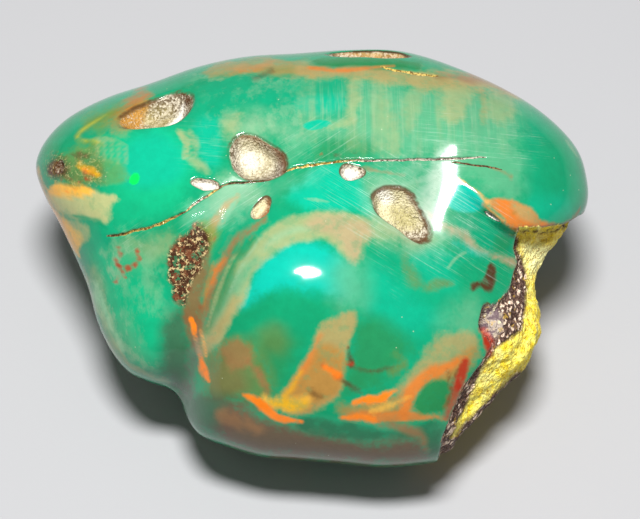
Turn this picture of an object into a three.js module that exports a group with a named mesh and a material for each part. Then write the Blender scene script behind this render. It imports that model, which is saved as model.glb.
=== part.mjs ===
// An amber nugget: one solid lump, polished green over most of its skin, with open pits and a rough side.
import * as THREE from 'three';
import { mergeVertices } from 'three/addons/utils/BufferGeometryUtils.js';

// Sizes are in millimetres. X runs to the right, Y to the back and Z up.
// The stone is laid out on a tilted plane, with u to the right and w up it. It bulges out on both sides.
const PLANE_TILT = 55; // degrees that the near side of the plane looks up
const CENTRE_HEIGHT = 18; // middle of the plane above the ground
const NEAR_BULGE = 21; // how far the near side stands out of the plane
const FAR_BULGE = 22; // the same for the hidden side, which the ground cuts flat
const ROUNDNESS = 2.15; // 2 is an ellipsoid, more is boxier
const LEAN = 0.28; // for each mm down the plane, both sides shift this much toward the viewer
const GROUND_BLEND = 1.2; // height of the round edge where the flat base begins
const RIM_FADE = 0.3; // part of the bulge over which the near relief dies out at the outline

const GRID_DETAIL = 21; // a ball of 20 (detail + 1)^2 triangles is what the stone is shaped from
const GRID_PULL = 0.35; // draws the small triangles to the near side, where the relief is finest

// The widest outline on the plane, from the left tip over the top and round, as u, w.
const OUTLINE = [
  [-41.5, 13], [-41, 16], [-39, 19], [-36, 21.5], [-31, 24], [-25, 26], [-18, 28.5], [-11, 30], [-3.5, 30.5],
  [3.5, 31], [10.5, 31], [15.5, 30], [21, 28], [26.5, 25.5], [31.5, 22.5], [35.5, 19], [38, 15.5], [39, 11.5],
  [39, 8.5], [38, 6], [36.6, 4], [34, 0.5], [32.5, -2], [32, -5], [32.5, -7.5], [32.5, -11], [31, -15],
  [27.5, -18.5], [24, -22], [21, -25.5], [18.5, -28], [15, -29], [9, -29.5], [3, -29], [-3, -28.5],
  [-8.5, -28], [-13.5, -26.5], [-17, -25], [-19, -22.5], [-20, -20], [-21.5, -18.5], [-24.5, -17.5],
  [-27.5, -16], [-30, -13], [-32, -9], [-33.5, -4], [-35.5, 0.5], [-38, 5.5], [-40, 9],
];

// Ridges and valleys: heights are spread evenly along the path, width is how soon they fade to the sides.
const NEAR_FOLDS = [
  // thick roll over the top, from the left tip to the right bulb
  { path: [[-35, 14], [-29.5, 17], [-22.5, 19.5], [-12.5, 22], [-1.5, 22.5], [10, 21.5], [19.5, 19.5],
    [28, 15.5]],
    heights: [1, 1], width: 6 },
  // deep fold between the left wing and the main body
  { path: [[-8, 10], [-12, 6], [-15, 0.5], [-17, -5.5], [-18.5, -12], [-19.5, -17.5], [-20, -19.5]],
    heights: [-0.8, -1.8, -2.6, -3, -3.4, -3, -2.2], width: 3.6 },
  // slight valley that the long crack runs in
  { path: [[-23.5, 7.5], [-18, 9.5], [-9.5, 10.5], [-4, 12], [3, 13.5], [11, 14], [18, 13.5], [24, 12.5]],
    heights: [0, -0.3, -0.4, -0.5, -0.5, -0.4, -0.3, 0], width: 3 },
  // shallow trough from that valley down to the right side
  { path: [[5.5, 11.5], [12, 7.5], [19, 4], [26.5, -0.5]], heights: [-0.4, -1.2, -1.6, -1.2], width: 4.2 },
];
const FAR_FOLDS = [
  // long valley across the back
  { path: [[-30, 14], [-12, 19], [6, 16], [24, 21]], heights: [-0.8, -1.8, -1.6, -0.6], width: 4.5 },
  // broad ridge under it
  { path: [[-26, 6], [-8, 10], [12, 7], [26, 9]], heights: [0.6, 1.3, 1.1, 0.4], width: 6 },
  // groove that carries the left fold round the underside
  { path: [[-20, -19.5], [-20, -12], [-22, -4], [-27, 3]], heights: [-2.2, -1.8, -1.2, -0.3], width: 3.6 },
];
const DOME = { at: [-1.8, -1.7], height: 2.6, spread: [12, 10] };
// An even slope that blends into the rest, from the roll down past the end of the crack. Height is that of
// its top over the plane, rise is its gain for each mm up the plane, and it rounds off to both sides.
const SLOPE = { path: [[19, 16], [15.7, 4.6]], height: 17.5, rise: 0.05, rounding: 0.022, width: 3.4 };
const UNDULATION = { height: 0.12, farHeight: 0.4, length: 24 };

// Where the right bulb stands over the ground below it: the step is on the right-hand side of the path.
const LIP = {
  path: [[18, 12.5], [21, 10], [23.5, 7.5], [25.5, 5.5], [28, 4.5], [31.5, 4.5], [35.5, 5]],
  steps: [0, 0.8, 1.6, 2.2, 2.8, 2.8, 1], edge: 1.6, reach: 9,
};

// The rough side begins at these two edges and lies a little lower than the polish, with lumps of two sizes.
const CRUST = {
  nearEdge: [[39, 7], [35, 5], [32, 4.5], [28, 4.5], [27.5, 1.5], [28, -0.5], [27, -3.5], [25.5, -5.5],
    [23.5, -6.5], [22.5, -9.5], [24, -12], [22, -15], [20, -17.5], [18.5, -21], [17, -25], [16.5, -30]],
  farEdge: [[39.5, 7.5], [33, 4], [26, -1], [22.5, -8], [21, -15], [16, -21], [13, -30]],
  depth: 1.1, coarseLump: 0.35, coarseLength: 5.2, fineLump: 0.18, fineLength: 2.9, edge: 0.9,
};
const BACK_PATCH = { at: [18, 14], spread: [9, 4], depth: 0.9 };

// Open pits: place on the plane, half length and half width, turn against the u axis in degrees, and depth.
const PITS = [
  { at: [-23, 21.4], half: [5.6, 3.9], turn: 27, depth: 2.6 }, // upper left, the widest
  { at: [-9, 14.2], half: [4.4, 3.2], turn: -32, depth: 2.6 }, // beside the crack
  { at: [-16, 10.5], half: [2.1, 0.9], turn: -12, depth: 0.9 }, // thin one at the end of the crack
  { at: [-8.2, 7.1], half: [2, 1.3], turn: 74, depth: 1.3 }, // at the top of the fold
  { at: [4.4, 12.2], half: [1.8, 1.4], turn: 0, depth: 0.9 }, // small round one under the crack
  { at: [11.5, 6.6], half: [5, 3], turn: -40, depth: 2.4 }, // teardrop in the trough
  { at: [7.5, 30.2], half: [6, 2.4], turn: 2, depth: 1.4 }, // long one on the top edge
  { at: [24, 6], half: [1.3, 0.5], turn: -28, depth: 0.6 }, // slit under the lip
  { at: [-37.3, 13.2], half: [1.1, 1], turn: 0, depth: 0.8 }, // left tip
  { at: [23.5, -8.5], half: [2.4, 1.6], turn: 80, depth: 1.6 }, // grey hollow at the edge of the crust
];
const FAR_PITS = [
  { at: [-16, 22.5], half: [3.4, 2.1], turn: -20, depth: 1.8 },
  { at: [9, 11], half: [2.4, 1.8], turn: 35, depth: 1.3 },
  { at: [-29, 9], half: [1.6, 1.1], turn: 10, depth: 0.8 },
];
const PIT_WALL = [0.5, 1.1]; // where a pit's wall starts to fall and where it ends, in half lengths
const PIT_REACH = 6; // a pit acts no further than this from its own centre, across the skin

const tilt = THREE.MathUtils.degToRad(PLANE_TILT);
const rightAxis = new THREE.Vector3(1, 0, 0);
const upAxis = new THREE.Vector3(0, Math.sin(tilt), Math.cos(tilt));
const nearAxis = new THREE.Vector3(0, -Math.cos(tilt), Math.sin(tilt));

const outlineCurve = new THREE.CatmullRomCurve3(
  OUTLINE.map(([u, w]) => new THREE.Vector3(u, w, 0)), true, 'catmullrom', 0.5);
const outlinePolar = outlineCurve.getPoints(OUTLINE.length * 16).slice(0, -1)
  .map((p) => ({ angle: Math.atan2(p.y, p.x), radius: Math.hypot(p.x, p.y) }))
  .sort((a, b) => a.angle - b.angle);

// Distance from the plane's origin to the outline in one direction.
function outlineRadius(angle) {
  const count = outlinePolar.length;
  let low = -1;
  let high = count;
  while (high - low > 1) {
    const middle = (low + high) >> 1;
    if (outlinePolar[middle].angle <= angle) low = middle;
    else high = middle;
  }
  const a = outlinePolar[(low + count) % count];
  const b = outlinePolar[high % count];
  const turn = 2 * Math.PI;
  const span = (b.angle - a.angle + turn) % turn;
  const share = span > 0 ? ((angle - a.angle + turn) % turn) / span : 0;
  return a.radius + (b.radius - a.radius) * share;
}

const clamp01 = (x) => Math.min(Math.max(x, 0), 1);

function smooth(from, to, x) {
  const t = clamp01((x - from) / (to - from));
  return t * t * (3 - 2 * t);
}

// A curve through a few points, as short straight steps with their running length.
function smoothPath(points, steps = 6) {
  const knots = points.map(([u, w]) => new THREE.Vector3(u, w, 0));
  const curve = new THREE.CatmullRomCurve3(knots, false, 'catmullrom', 0.5);
  return curve.getPoints((points.length - 1) * steps).map((p) => [p.x, p.y]);
}

// Distance from a place to a path, how far along the path that is, and the side, 1 for the right-hand one.
function nearestOnPath(u, w, path) {
  let best = { distance: Infinity, along: 0, side: 0 };
  let run = 0;
  for (let i = 0; i + 1 < path.length; i += 1) {
    const du = path[i + 1][0] - path[i][0];
    const dw = path[i + 1][1] - path[i][1];
    const length = Math.hypot(du, dw);
    const pu = u - path[i][0];
    const pw = w - path[i][1];
    const share = clamp01((pu * du + pw * dw) / (length * length));
    const distance = Math.hypot(pu - share * du, pw - share * dw);
    if (distance < best.distance) {
      best = { distance, along: run + share * length, side: du * pw - dw * pu > 0 ? -1 : 1 };
    }
    run += length;
  }
  best.along /= run;
  return best;
}

// One of several values spread evenly along a path.
function valueAt(values, along) {
  const place = along * (values.length - 1);
  const index = Math.min(Math.floor(place), values.length - 2);
  return values[index] + (values[index + 1] - values[index]) * (place - index);
}

for (const fold of [...NEAR_FOLDS, ...FAR_FOLDS]) fold.line = smoothPath(fold.path);
LIP.line = smoothPath(LIP.path);
SLOPE.line = smoothPath(SLOPE.path);

function foldHeight(folds, u, w) {
  return folds.reduce((sum, fold) => {
    const { distance, along } = nearestOnPath(u, w, fold.line);
    return sum + valueAt(fold.heights, along) * Math.exp(-((distance / fold.width) ** 2));
  }, 0);
}

function bump({ at, spread }, u, w) {
  return Math.exp(-(((u - at[0]) / spread[0]) ** 2) - ((w - at[1]) / spread[1]) ** 2);
}

function nearRelief(u, w) {
  const lip = nearestOnPath(u, w, LIP.line);
  const below = lip.side > 0 ? 1 : 0;
  const step = below * valueAt(LIP.steps, lip.along) * smooth(-0.1, LIP.edge, lip.distance)
    * Math.exp(-((lip.distance / LIP.reach) ** 2));
  return foldHeight(NEAR_FOLDS, u, w) + DOME.height * bump(DOME, u, w) - step;
}

function blendSlope(height, u, w, fade) {
  const { distance } = nearestOnPath(u, w, SLOPE.line);
  const even = SLOPE.height + SLOPE.rise * (w - SLOPE.path[0][1]) - SLOPE.rounding * distance ** 2;
  return height + fade * Math.exp(-((distance / SLOPE.width) ** 2)) * (even - height);
}

// Soft lumps between about -1 and 1 over a place in space.
function lumps(p, length, seed) {
  let sum = 0;
  for (let i = 0; i < 6; i += 1) {
    const a = seed + 2.4 * i;
    const b = seed * 1.7 + 1.3 * i;
    const pitch = (2 * Math.PI) / (length * (1 + 0.13 * i));
    const across = Math.cos(a) * Math.cos(b) * p.x + Math.sin(a) * Math.cos(b) * p.y + Math.sin(b) * p.z;
    sum += Math.sin(across * pitch + 1.9 * i + seed);
  }
  return sum / 3;
}

// The skin before the rough side and the pits are cut. Facing is 1 at the near middle and -1 at the far
// one.
function skinPoint(u, w, facing) {
  const near = facing >= 0;
  const share = Math.min(Math.hypot(u, w) / outlineRadius(Math.atan2(w, u)), 1);
  const bulge = (1 - share ** ROUNDNESS) ** (1 / ROUNDNESS);
  const fade = smooth(0, RIM_FADE, Math.abs(facing));
  const relief = near ? nearRelief(u, w) : foldHeight(FAR_FOLDS, u, w);
  const height = near
    ? blendSlope(NEAR_BULGE * bulge + fade * relief, u, w, fade)
    : -FAR_BULGE * bulge - fade * relief;
  const point = new THREE.Vector3(0, 0, CENTRE_HEIGHT)
    .addScaledVector(rightAxis, u)
    .addScaledVector(upAxis, w)
    .addScaledVector(nearAxis, height - LEAN * w);
  const wave = near ? UNDULATION.height : UNDULATION.farHeight;
  point.addScaledVector(nearAxis, fade * wave * lumps(point, UNDULATION.length, 3));
  if (point.z < GROUND_BLEND) {
    point.z = point.z < -GROUND_BLEND ? 0 : (point.z + GROUND_BLEND) ** 2 / (4 * GROUND_BLEND);
  }
  return point;
}

// The skin's point over a place on the plane, and its outward direction there.
function skinFrame([u, w], sign) {
  const step = 0.6;
  const facingAt = (a, b) => {
    const share = Math.min(Math.hypot(a, b) / outlineRadius(Math.atan2(b, a)), 0.999);
    return sign * Math.sqrt(1 - share * share);
  };
  const inwardU = u > 0 ? -step : step;
  const inwardW = w > 0 ? -step : step;
  const point = skinPoint(u, w, facingAt(u, w));
  const alongU = skinPoint(u + inwardU, w, facingAt(u + inwardU, w)).sub(point);
  const alongW = skinPoint(u, w + inwardW, facingAt(u, w + inwardW)).sub(point);
  alongU.multiplyScalar(Math.sign(inwardU));
  alongW.multiplyScalar(Math.sign(inwardW));
  const outward = alongU.cross(alongW).normalize().multiplyScalar(sign);
  return { point, outward };
}

function preparePit(pit, sign) {
  const { point, outward } = skinFrame(pit.at, sign);
  const turn = THREE.MathUtils.degToRad(pit.turn);
  const long = rightAxis.clone().multiplyScalar(Math.cos(turn)).addScaledVector(upAxis, Math.sin(turn));
  long.addScaledVector(outward, -long.dot(outward)).normalize();
  return { ...pit, point, outward, long, cross: outward.clone().cross(long) };
}
const pits = [...PITS.map((pit) => preparePit(pit, 1)), ...FAR_PITS.map((pit) => preparePit(pit, -1))];

// Pushes a point of the skin straight into each pit that it lies in.
function sinkPits(p) {
  const sunk = p.clone();
  for (const pit of pits) {
    const from = p.clone().sub(pit.point);
    if (Math.abs(from.dot(pit.outward)) > PIT_REACH) continue;
    const x = from.dot(pit.long);
    const y = from.dot(pit.cross);
    const wobble = 1 + 0.08 * Math.sin(3 * Math.atan2(y, x) + pit.at[0]);
    const place = Math.hypot(x / pit.half[0], y / pit.half[1]) * wobble;
    sunk.addScaledVector(pit.outward, -pit.depth * (1 - smooth(PIT_WALL[0], PIT_WALL[1], place)));
  }
  return sunk;
}

function crustDepth(p, u, w, facing) {
  const edge = nearestOnPath(u, w, facing >= 0 ? CRUST.nearEdge : CRUST.farEdge);
  const inside = smooth(-0.3, CRUST.edge, -edge.side * edge.distance);
  const patch = facing < 0 ? smooth(0.4, 0.6, bump(BACK_PATCH, u, w)) : 0;
  const coarse = CRUST.coarseLump * lumps(p, CRUST.coarseLength, 1);
  const rough = coarse + CRUST.fineLump * lumps(p, CRUST.fineLength, 2);
  return inside * (CRUST.depth + rough) + (1 - inside) * patch * (BACK_PATCH.depth + rough);
}

// A ball's grid of triangles, drawn toward its near side, then each of its points moved out to the skin.
function nuggetGeometry() {
  const ball = new THREE.IcosahedronGeometry(1, GRID_DETAIL);
  ball.deleteAttribute('normal');
  ball.deleteAttribute('uv');
  const geometry = mergeVertices(ball, 1e-5);
  const position = geometry.attributes.position;
  const narrow = Math.sqrt(1 - GRID_PULL ** 2);
  const places = [];
  for (let i = 0; i < position.count; i += 1) {
    const direction = new THREE.Vector3().fromBufferAttribute(position, i).normalize();
    const stretch = 1 + GRID_PULL * direction.z;
    const facing = (direction.z + GRID_PULL) / stretch;
    const a = (direction.x * narrow) / stretch;
    const b = (direction.y * narrow) / stretch;
    const radius = outlineRadius(Math.atan2(b, a));
    const u = radius * a;
    const w = radius * b;
    const point = skinPoint(u, w, facing);
    position.setXYZ(i, point.x, point.y, point.z);
    places.push({ u, w, facing });
  }
  geometry.computeVertexNormals();
  const normal = geometry.attributes.normal;
  for (let i = 0; i < position.count; i += 1) {
    const point = new THREE.Vector3().fromBufferAttribute(position, i);
    const outward = new THREE.Vector3().fromBufferAttribute(normal, i);
    const cut = crustDepth(point, places[i].u, places[i].w, places[i].facing);
    const sunk = sinkPits(point).addScaledVector(outward, -cut);
    position.setXYZ(i, sunk.x, sunk.y, Math.max(sunk.z, 0));
  }
  geometry.deleteAttribute('normal');
  geometry.computeBoundingBox();
  const box = geometry.boundingBox;
  geometry.translate(-(box.min.x + box.max.x) / 2, -(box.min.y + box.max.y) / 2, -box.min.z);
  return geometry;
}

const amber = new THREE.MeshStandardMaterial({ color: 0x14a878, roughness: 0.15, metalness: 0 });
const nugget = new THREE.Mesh(nuggetGeometry(), amber);
nugget.name = 'amber_nugget';

const stone = new THREE.Group();
stone.add(nugget);

export default stone;
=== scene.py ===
import bpy
import numpy as np
from mathutils import Matrix, Vector, noise


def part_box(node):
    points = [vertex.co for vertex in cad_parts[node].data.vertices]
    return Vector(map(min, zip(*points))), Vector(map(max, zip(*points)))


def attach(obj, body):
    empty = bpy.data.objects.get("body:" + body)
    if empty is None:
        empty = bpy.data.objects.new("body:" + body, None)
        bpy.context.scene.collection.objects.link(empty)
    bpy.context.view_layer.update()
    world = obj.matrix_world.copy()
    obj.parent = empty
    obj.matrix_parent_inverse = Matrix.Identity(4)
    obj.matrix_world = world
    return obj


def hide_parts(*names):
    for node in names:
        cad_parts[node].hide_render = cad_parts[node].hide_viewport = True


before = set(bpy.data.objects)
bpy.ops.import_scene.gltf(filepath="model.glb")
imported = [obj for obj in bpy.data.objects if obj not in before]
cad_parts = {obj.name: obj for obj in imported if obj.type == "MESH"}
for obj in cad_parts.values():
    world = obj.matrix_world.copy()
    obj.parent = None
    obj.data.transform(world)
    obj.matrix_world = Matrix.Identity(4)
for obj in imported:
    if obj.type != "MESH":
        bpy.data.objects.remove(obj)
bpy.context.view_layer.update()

# The nugget's form: the same named values as the solid, in millimetres.
PLANE_TILT, CENTRE_HEIGHT = 55, 18
NEAR_BULGE, FAR_BULGE, ROUNDNESS, LEAN = 21, 22, 2.15, 0.28
GROUND_BLEND, RIM_FADE, GRID_PULL = 1.2, 0.3, 0.35
OUTLINE = [
    (-41.5, 13), (-41, 16), (-39, 19), (-36, 21.5), (-31, 24), (-25, 26), (-18, 28.5), (-11, 30),
    (-3.5, 30.5), (3.5, 31), (10.5, 31), (15.5, 30), (21, 28), (26.5, 25.5), (31.5, 22.5), (35.5, 19),
    (38, 15.5), (39, 11.5), (39, 8.5), (38, 6), (36.6, 4), (34, 0.5), (32.5, -2), (32, -5), (32.5, -7.5),
    (32.5, -11), (31, -15), (27.5, -18.5), (24, -22), (21, -25.5), (18.5, -28), (15, -29), (9, -29.5),
    (3, -29), (-3, -28.5), (-8.5, -28), (-13.5, -26.5), (-17, -25), (-19, -22.5), (-20, -20),
    (-21.5, -18.5), (-24.5, -17.5), (-27.5, -16), (-30, -13), (-32, -9), (-33.5, -4), (-35.5, 0.5),
    (-38, 5.5), (-40, 9)]
# Each fold is a path, the heights spread along it, and its width.
NEAR_FOLDS = [
    ([(-35, 14), (-29.5, 17), (-22.5, 19.5), (-12.5, 22), (-1.5, 22.5), (10, 21.5), (19.5, 19.5),
      (28, 15.5)], [1, 1], 6),
    ([(-8, 10), (-12, 6), (-15, 0.5), (-17, -5.5), (-18.5, -12), (-19.5, -17.5), (-20, -19.5)],
     [-0.8, -1.8, -2.6, -3, -3.4, -3, -2.2], 3.6),
    ([(-23.5, 7.5), (-18, 9.5), (-9.5, 10.5), (-4, 12), (3, 13.5), (11, 14), (18, 13.5), (24, 12.5)],
     [0, -0.3, -0.4, -0.5, -0.5, -0.4, -0.3, 0], 3),
    ([(5.5, 11.5), (12, 7.5), (19, 4), (26.5, -0.5)], [-0.4, -1.2, -1.6, -1.2], 4.2)]
# An even slope blended into the near side: its path, height at the top, rise, rounding and width.
SLOPE_PATH, SLOPE_HEIGHT = [(19, 16), (15.7, 4.6)], 17.5
SLOPE_RISE, SLOPE_ROUNDING, SLOPE_WIDTH = 0.05, 0.022, 3.4
FAR_FOLDS = [
    ([(-30, 14), (-12, 19), (6, 16), (24, 21)], [-0.8, -1.8, -1.6, -0.6], 4.5),
    ([(-26, 6), (-8, 10), (12, 7), (26, 9)], [0.6, 1.3, 1.1, 0.4], 6),
    ([(-20, -19.5), (-20, -12), (-22, -4), (-27, 3)], [-2.2, -1.8, -1.2, -0.3], 3.6)]
DOME_AT, DOME_HEIGHT, DOME_SPREAD = (-1.8, -1.7), 2.6, (12, 10)
NEAR_WAVE, FAR_WAVE, WAVE_LENGTH, WAVE_SEED = 0.12, 0.4, 24, 3
LIP_PATH = [(18, 12.5), (21, 10), (23.5, 7.5), (25.5, 5.5), (28, 4.5), (31.5, 4.5), (35.5, 5)]
LIP_STEPS, LIP_EDGE, LIP_REACH = [0, 0.8, 1.6, 2.2, 2.8, 2.8, 1], 1.6, 9
CRUST_NEAR = [
    (39, 7), (35, 5), (32, 4.5), (28, 4.5), (27.5, 1.5), (28, -0.5), (27, -3.5), (25.5, -5.5), (23.5, -6.5),
    (22.5, -9.5), (24, -12), (22, -15), (20, -17.5), (18.5, -21), (17, -25), (16.5, -30)]
CRUST_FAR = [(39.5, 7.5), (33, 4), (26, -1), (22.5, -8), (21, -15), (16, -21), (13, -30)]
CRUST_DEPTH, CRUST_EDGE = 1.1, 0.9
# The height, length and seed of each kind of lump on the rough side.
CRUST_LUMPS = [(0.35, 5.2, 1), (0.18, 2.9, 2)]
PATCH_AT, PATCH_SPREAD, PATCH_DEPTH = (18, 14), (9, 4), 0.9
# Each pit is its place, half length and width, turn in degrees and depth.
NEAR_PITS = [
    ((-23, 21.4), (5.6, 3.9), 27, 2.6), ((-9, 14.2), (4.4, 3.2), -32, 2.6),
    ((-16, 10.5), (2.1, 0.9), -12, 0.9), ((-8.2, 7.1), (2, 1.3), 74, 1.3),
    ((4.4, 12.2), (1.8, 1.4), 0, 0.9), ((11.5, 6.6), (5, 3), -40, 2.4),
    ((7.5, 30.2), (6, 2.4), 2, 1.4), ((24, 6), (1.3, 0.5), -28, 0.6),
    ((-37.3, 13.2), (1.1, 1), 0, 0.8), ((23.5, -8.5), (2.4, 1.6), 80, 1.6)]
FAR_PITS = [
    ((-16, 22.5), (3.4, 2.1), -20, 1.8), ((9, 11), (2.4, 1.8), 35, 1.3), ((-29, 9), (1.6, 1.1), 10, 0.8)]
PIT_WALL, PIT_REACH, PIT_WOBBLE, PIT_STEP = (0.5, 1.1), 6, 0.08, 0.6

# The camera, and the photograph's frame in pixels.
CAMERA_DISTANCE, LENS, SENSOR = 400, 155, 36
PHOTO_SIZE = (640, 519)
MM_PER_PIXEL = SENSOR / LENS / PHOTO_SIZE[0] * CAMERA_DISTANCE

# The fine mesh: parts along a side of the first ball, how near a pit, the crust or a crack it turns finer,
# and its longest edges there.
BALL_PARTS, QUICK_PARTS = 66, 44
NEAR_PIT, NEAR_CRUST, NEAR_CRACK = 1.3, 0.8, 0.55
PIT_LONGEST, CRUST_LONGEST, CRACK_LONGEST = 0.34, 0.42, 0.2
# Lengths and heights of the grain and the knobs, in millimetres.
GRAIN_LENGTH, KNOB_LENGTH = 1.1, 2.6
CRUST_GRAIN, CRUST_KNOBS, PIT_GRAIN = 0.17, 0.16, 0.16
# Cracks and drawn colours are bent by lumps of these lengths and seeds, by so many pixels.
CRACK_LUMPS, CRACK_WIGGLE = [(2.3, 8), (1.1, 9)], 0.4
WARPS = [(9, (4, 5), 2.2), (4, (6, 7), 1.3), (1.7, (10, 11), 0.7)]
# Steps between the points of a drawn path, the deepest place in a shape and a value for far away.
PATH_STEPS, DEEPEST, FAR_OFF = 4, 3.0, 9.0

# The polish: light let through, refraction, gloss, and the strength of the absorption inside.
LET_THROUGH, REFRACTION, SHEEN_LEVEL, ABSORPTION = 0.22, 1.54, 0.12, 260.0
GLOSS, GLOSS_LOST_IF_DULL, GLOSS_ROUGHNESS = 0.36, 0.33, 0.045
BUMP_DEPTH, BUMP_STRENGTH = 0.0005, 0.9

# The studio, in metres and watts. The key light's way is to the right, up and near in the picture.
FLOOR_REACH, DAYLIGHT_STRENGTH = 1.5, 0.21
KEY_WAY, KEY_DISTANCE, KEY_SIZE, KEY_POWER = (-0.01, 0.45, 0.89), 0.6, (0.19, 0.105), 6.4

# Cracks: path in photograph pixels, depth and half width in mm, and shine along the path, from 0 for brown
# through 0.5 for gold to 1 for silver.
CRACKS = [
    ([(216, 188), (232, 183), (250, 182), (268, 179), (290, 169), (305, 166), (340, 161), (370, 160),
      (440, 159), (486, 157)], 0.5, 0.13, [0, 0.05, 0.3, 0.5, 0.5, 0.9, 1, 1, 1, 1]),
    ([(107, 236), (116, 235.6), (134, 231), (154, 226), (170, 219), (186, 211)],
     0.5, 0.15, [0, 0.3, 0.6, 0.6, 0.3, 0]),
    ([(186, 211), (196, 203), (209, 195), (224, 185)], 0.2, 0.13, [0.6, 1, 0.6, 0]),
    ([(452, 162), (475, 165), (502, 169)], 0.15, 0.1, [0, 0, 0]),
    ([(381, 66), (390, 69), (402, 71), (420, 74), (438, 76)], 0.3, 0.14, [0.5, 0.5, 0.6, 0.6, 0.5])]

# Colours as linear light: first those that shapes are drawn with, then those of grain, crust and studio.
TONES = {
    "aqua": (0.001, 0.493, 0.361), "teal": (0.001, 0.458, 0.273), "sea": (0.002, 0.343, 0.167),
    "green": (0.003, 0.317, 0.136), "leaf": (0.018, 0.238, 0.075), "deep": (0.009, 0.167, 0.07),
    "dusk": (0.053, 0.106, 0.057), "veil": (0.106, 0.405, 0.211), "mist": (0.264, 0.475, 0.273),
    "tan": (0.37, 0.414, 0.185), "straw": (0.317, 0.273, 0.079), "sand": (0.44, 0.317, 0.114),
    "clay": (0.317, 0.158, 0.057), "blush": (0.484, 0.326, 0.185), "apricot": (1, 0.52, 0.07),
    "peach": (0.98, 0.42, 0.1), "orange": (1, 0.24, 0.012), "amber": (0.686, 0.202, 0.031),
    "honey": (0.44, 0.22, 0.044), "gold": (0.76, 0.42, 0.012), "olive": (0.167, 0.185, 0.026),
    "moss": (0.167, 0.264, 0.035), "rust": (0.246, 0.097, 0.031), "brown": (0.085, 0.035, 0.012),
    "red": (0.42, 0.03, 0.01), "lime": (0.001, 0.75, 0.1), "grey": (0.176, 0.141, 0.123),
    "earth": (0.167, 0.084, 0.044), "white": (0.95, 0.92, 0.84), "jade": (0.003, 0.45, 0.205),
    "pale": (0.33, 0.64, 0.36), "umber": (0.46, 0.15, 0.02), "citron": (0.44, 0.46, 0.05),
    "butter": (0.50, 0.53, 0.23), "cream": (0.66, 0.6, 0.36),
    "dust": (0.62, 0.66, 0.44), "scratch": (0.6, 0.76, 0.64), "haze_and_sheen": (0.66, 0.8, 0.68),
    "grain dark": (0.06, 0.022, 0.01), "grain light": (0.72, 0.54, 0.26), "red earth": (0.22, 0.07, 0.03),
    "brown crack dark": (0.07, 0.035, 0.015), "brown crack light": (0.34, 0.2, 0.09),
    "gold crack dark": (0.16, 0.08, 0.015), "gold crack light": (0.72, 0.52, 0.12),
    "silver crack dark": (0.12, 0.07, 0.05), "silver crack light": (0.62, 0.56, 0.46),
    "sugar dark": (0.15, 0.11, 0.065), "sugar light": (0.58, 0.52, 0.4), "brown sugar": (0.55, 0.45, 0.2),
    "pit rim": (0.1, 0.045, 0.015), "stone dark": (0.05, 0.024, 0.017), "stone light": (0.18, 0.105, 0.08),
    "crumb dark": (0.52, 0.33, 0.24), "crumb light": (0.95, 0.78, 0.6), "vug dark": (0.16, 0.11, 0.12),
    "vug light": (0.46, 0.38, 0.31), "vug crumb": (0.7, 0.62, 0.42), "ochre": (0.6, 0.38, 0.05),
    "lemon dark": (0.96, 0.72, 0.04), "lemon light": (1, 0.9, 0.18), "lemon pale": (1, 0.95, 0.36),
    "lemon bloom": (1, 0.98, 0.5), "lemon pit": (0.45, 0.22, 0.02), "absorbed": (0.7, 0.42, 0.08),
    "paper": (0.38, 0.38, 0.39), "daylight": (1, 0.98, 0.95)}

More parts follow.
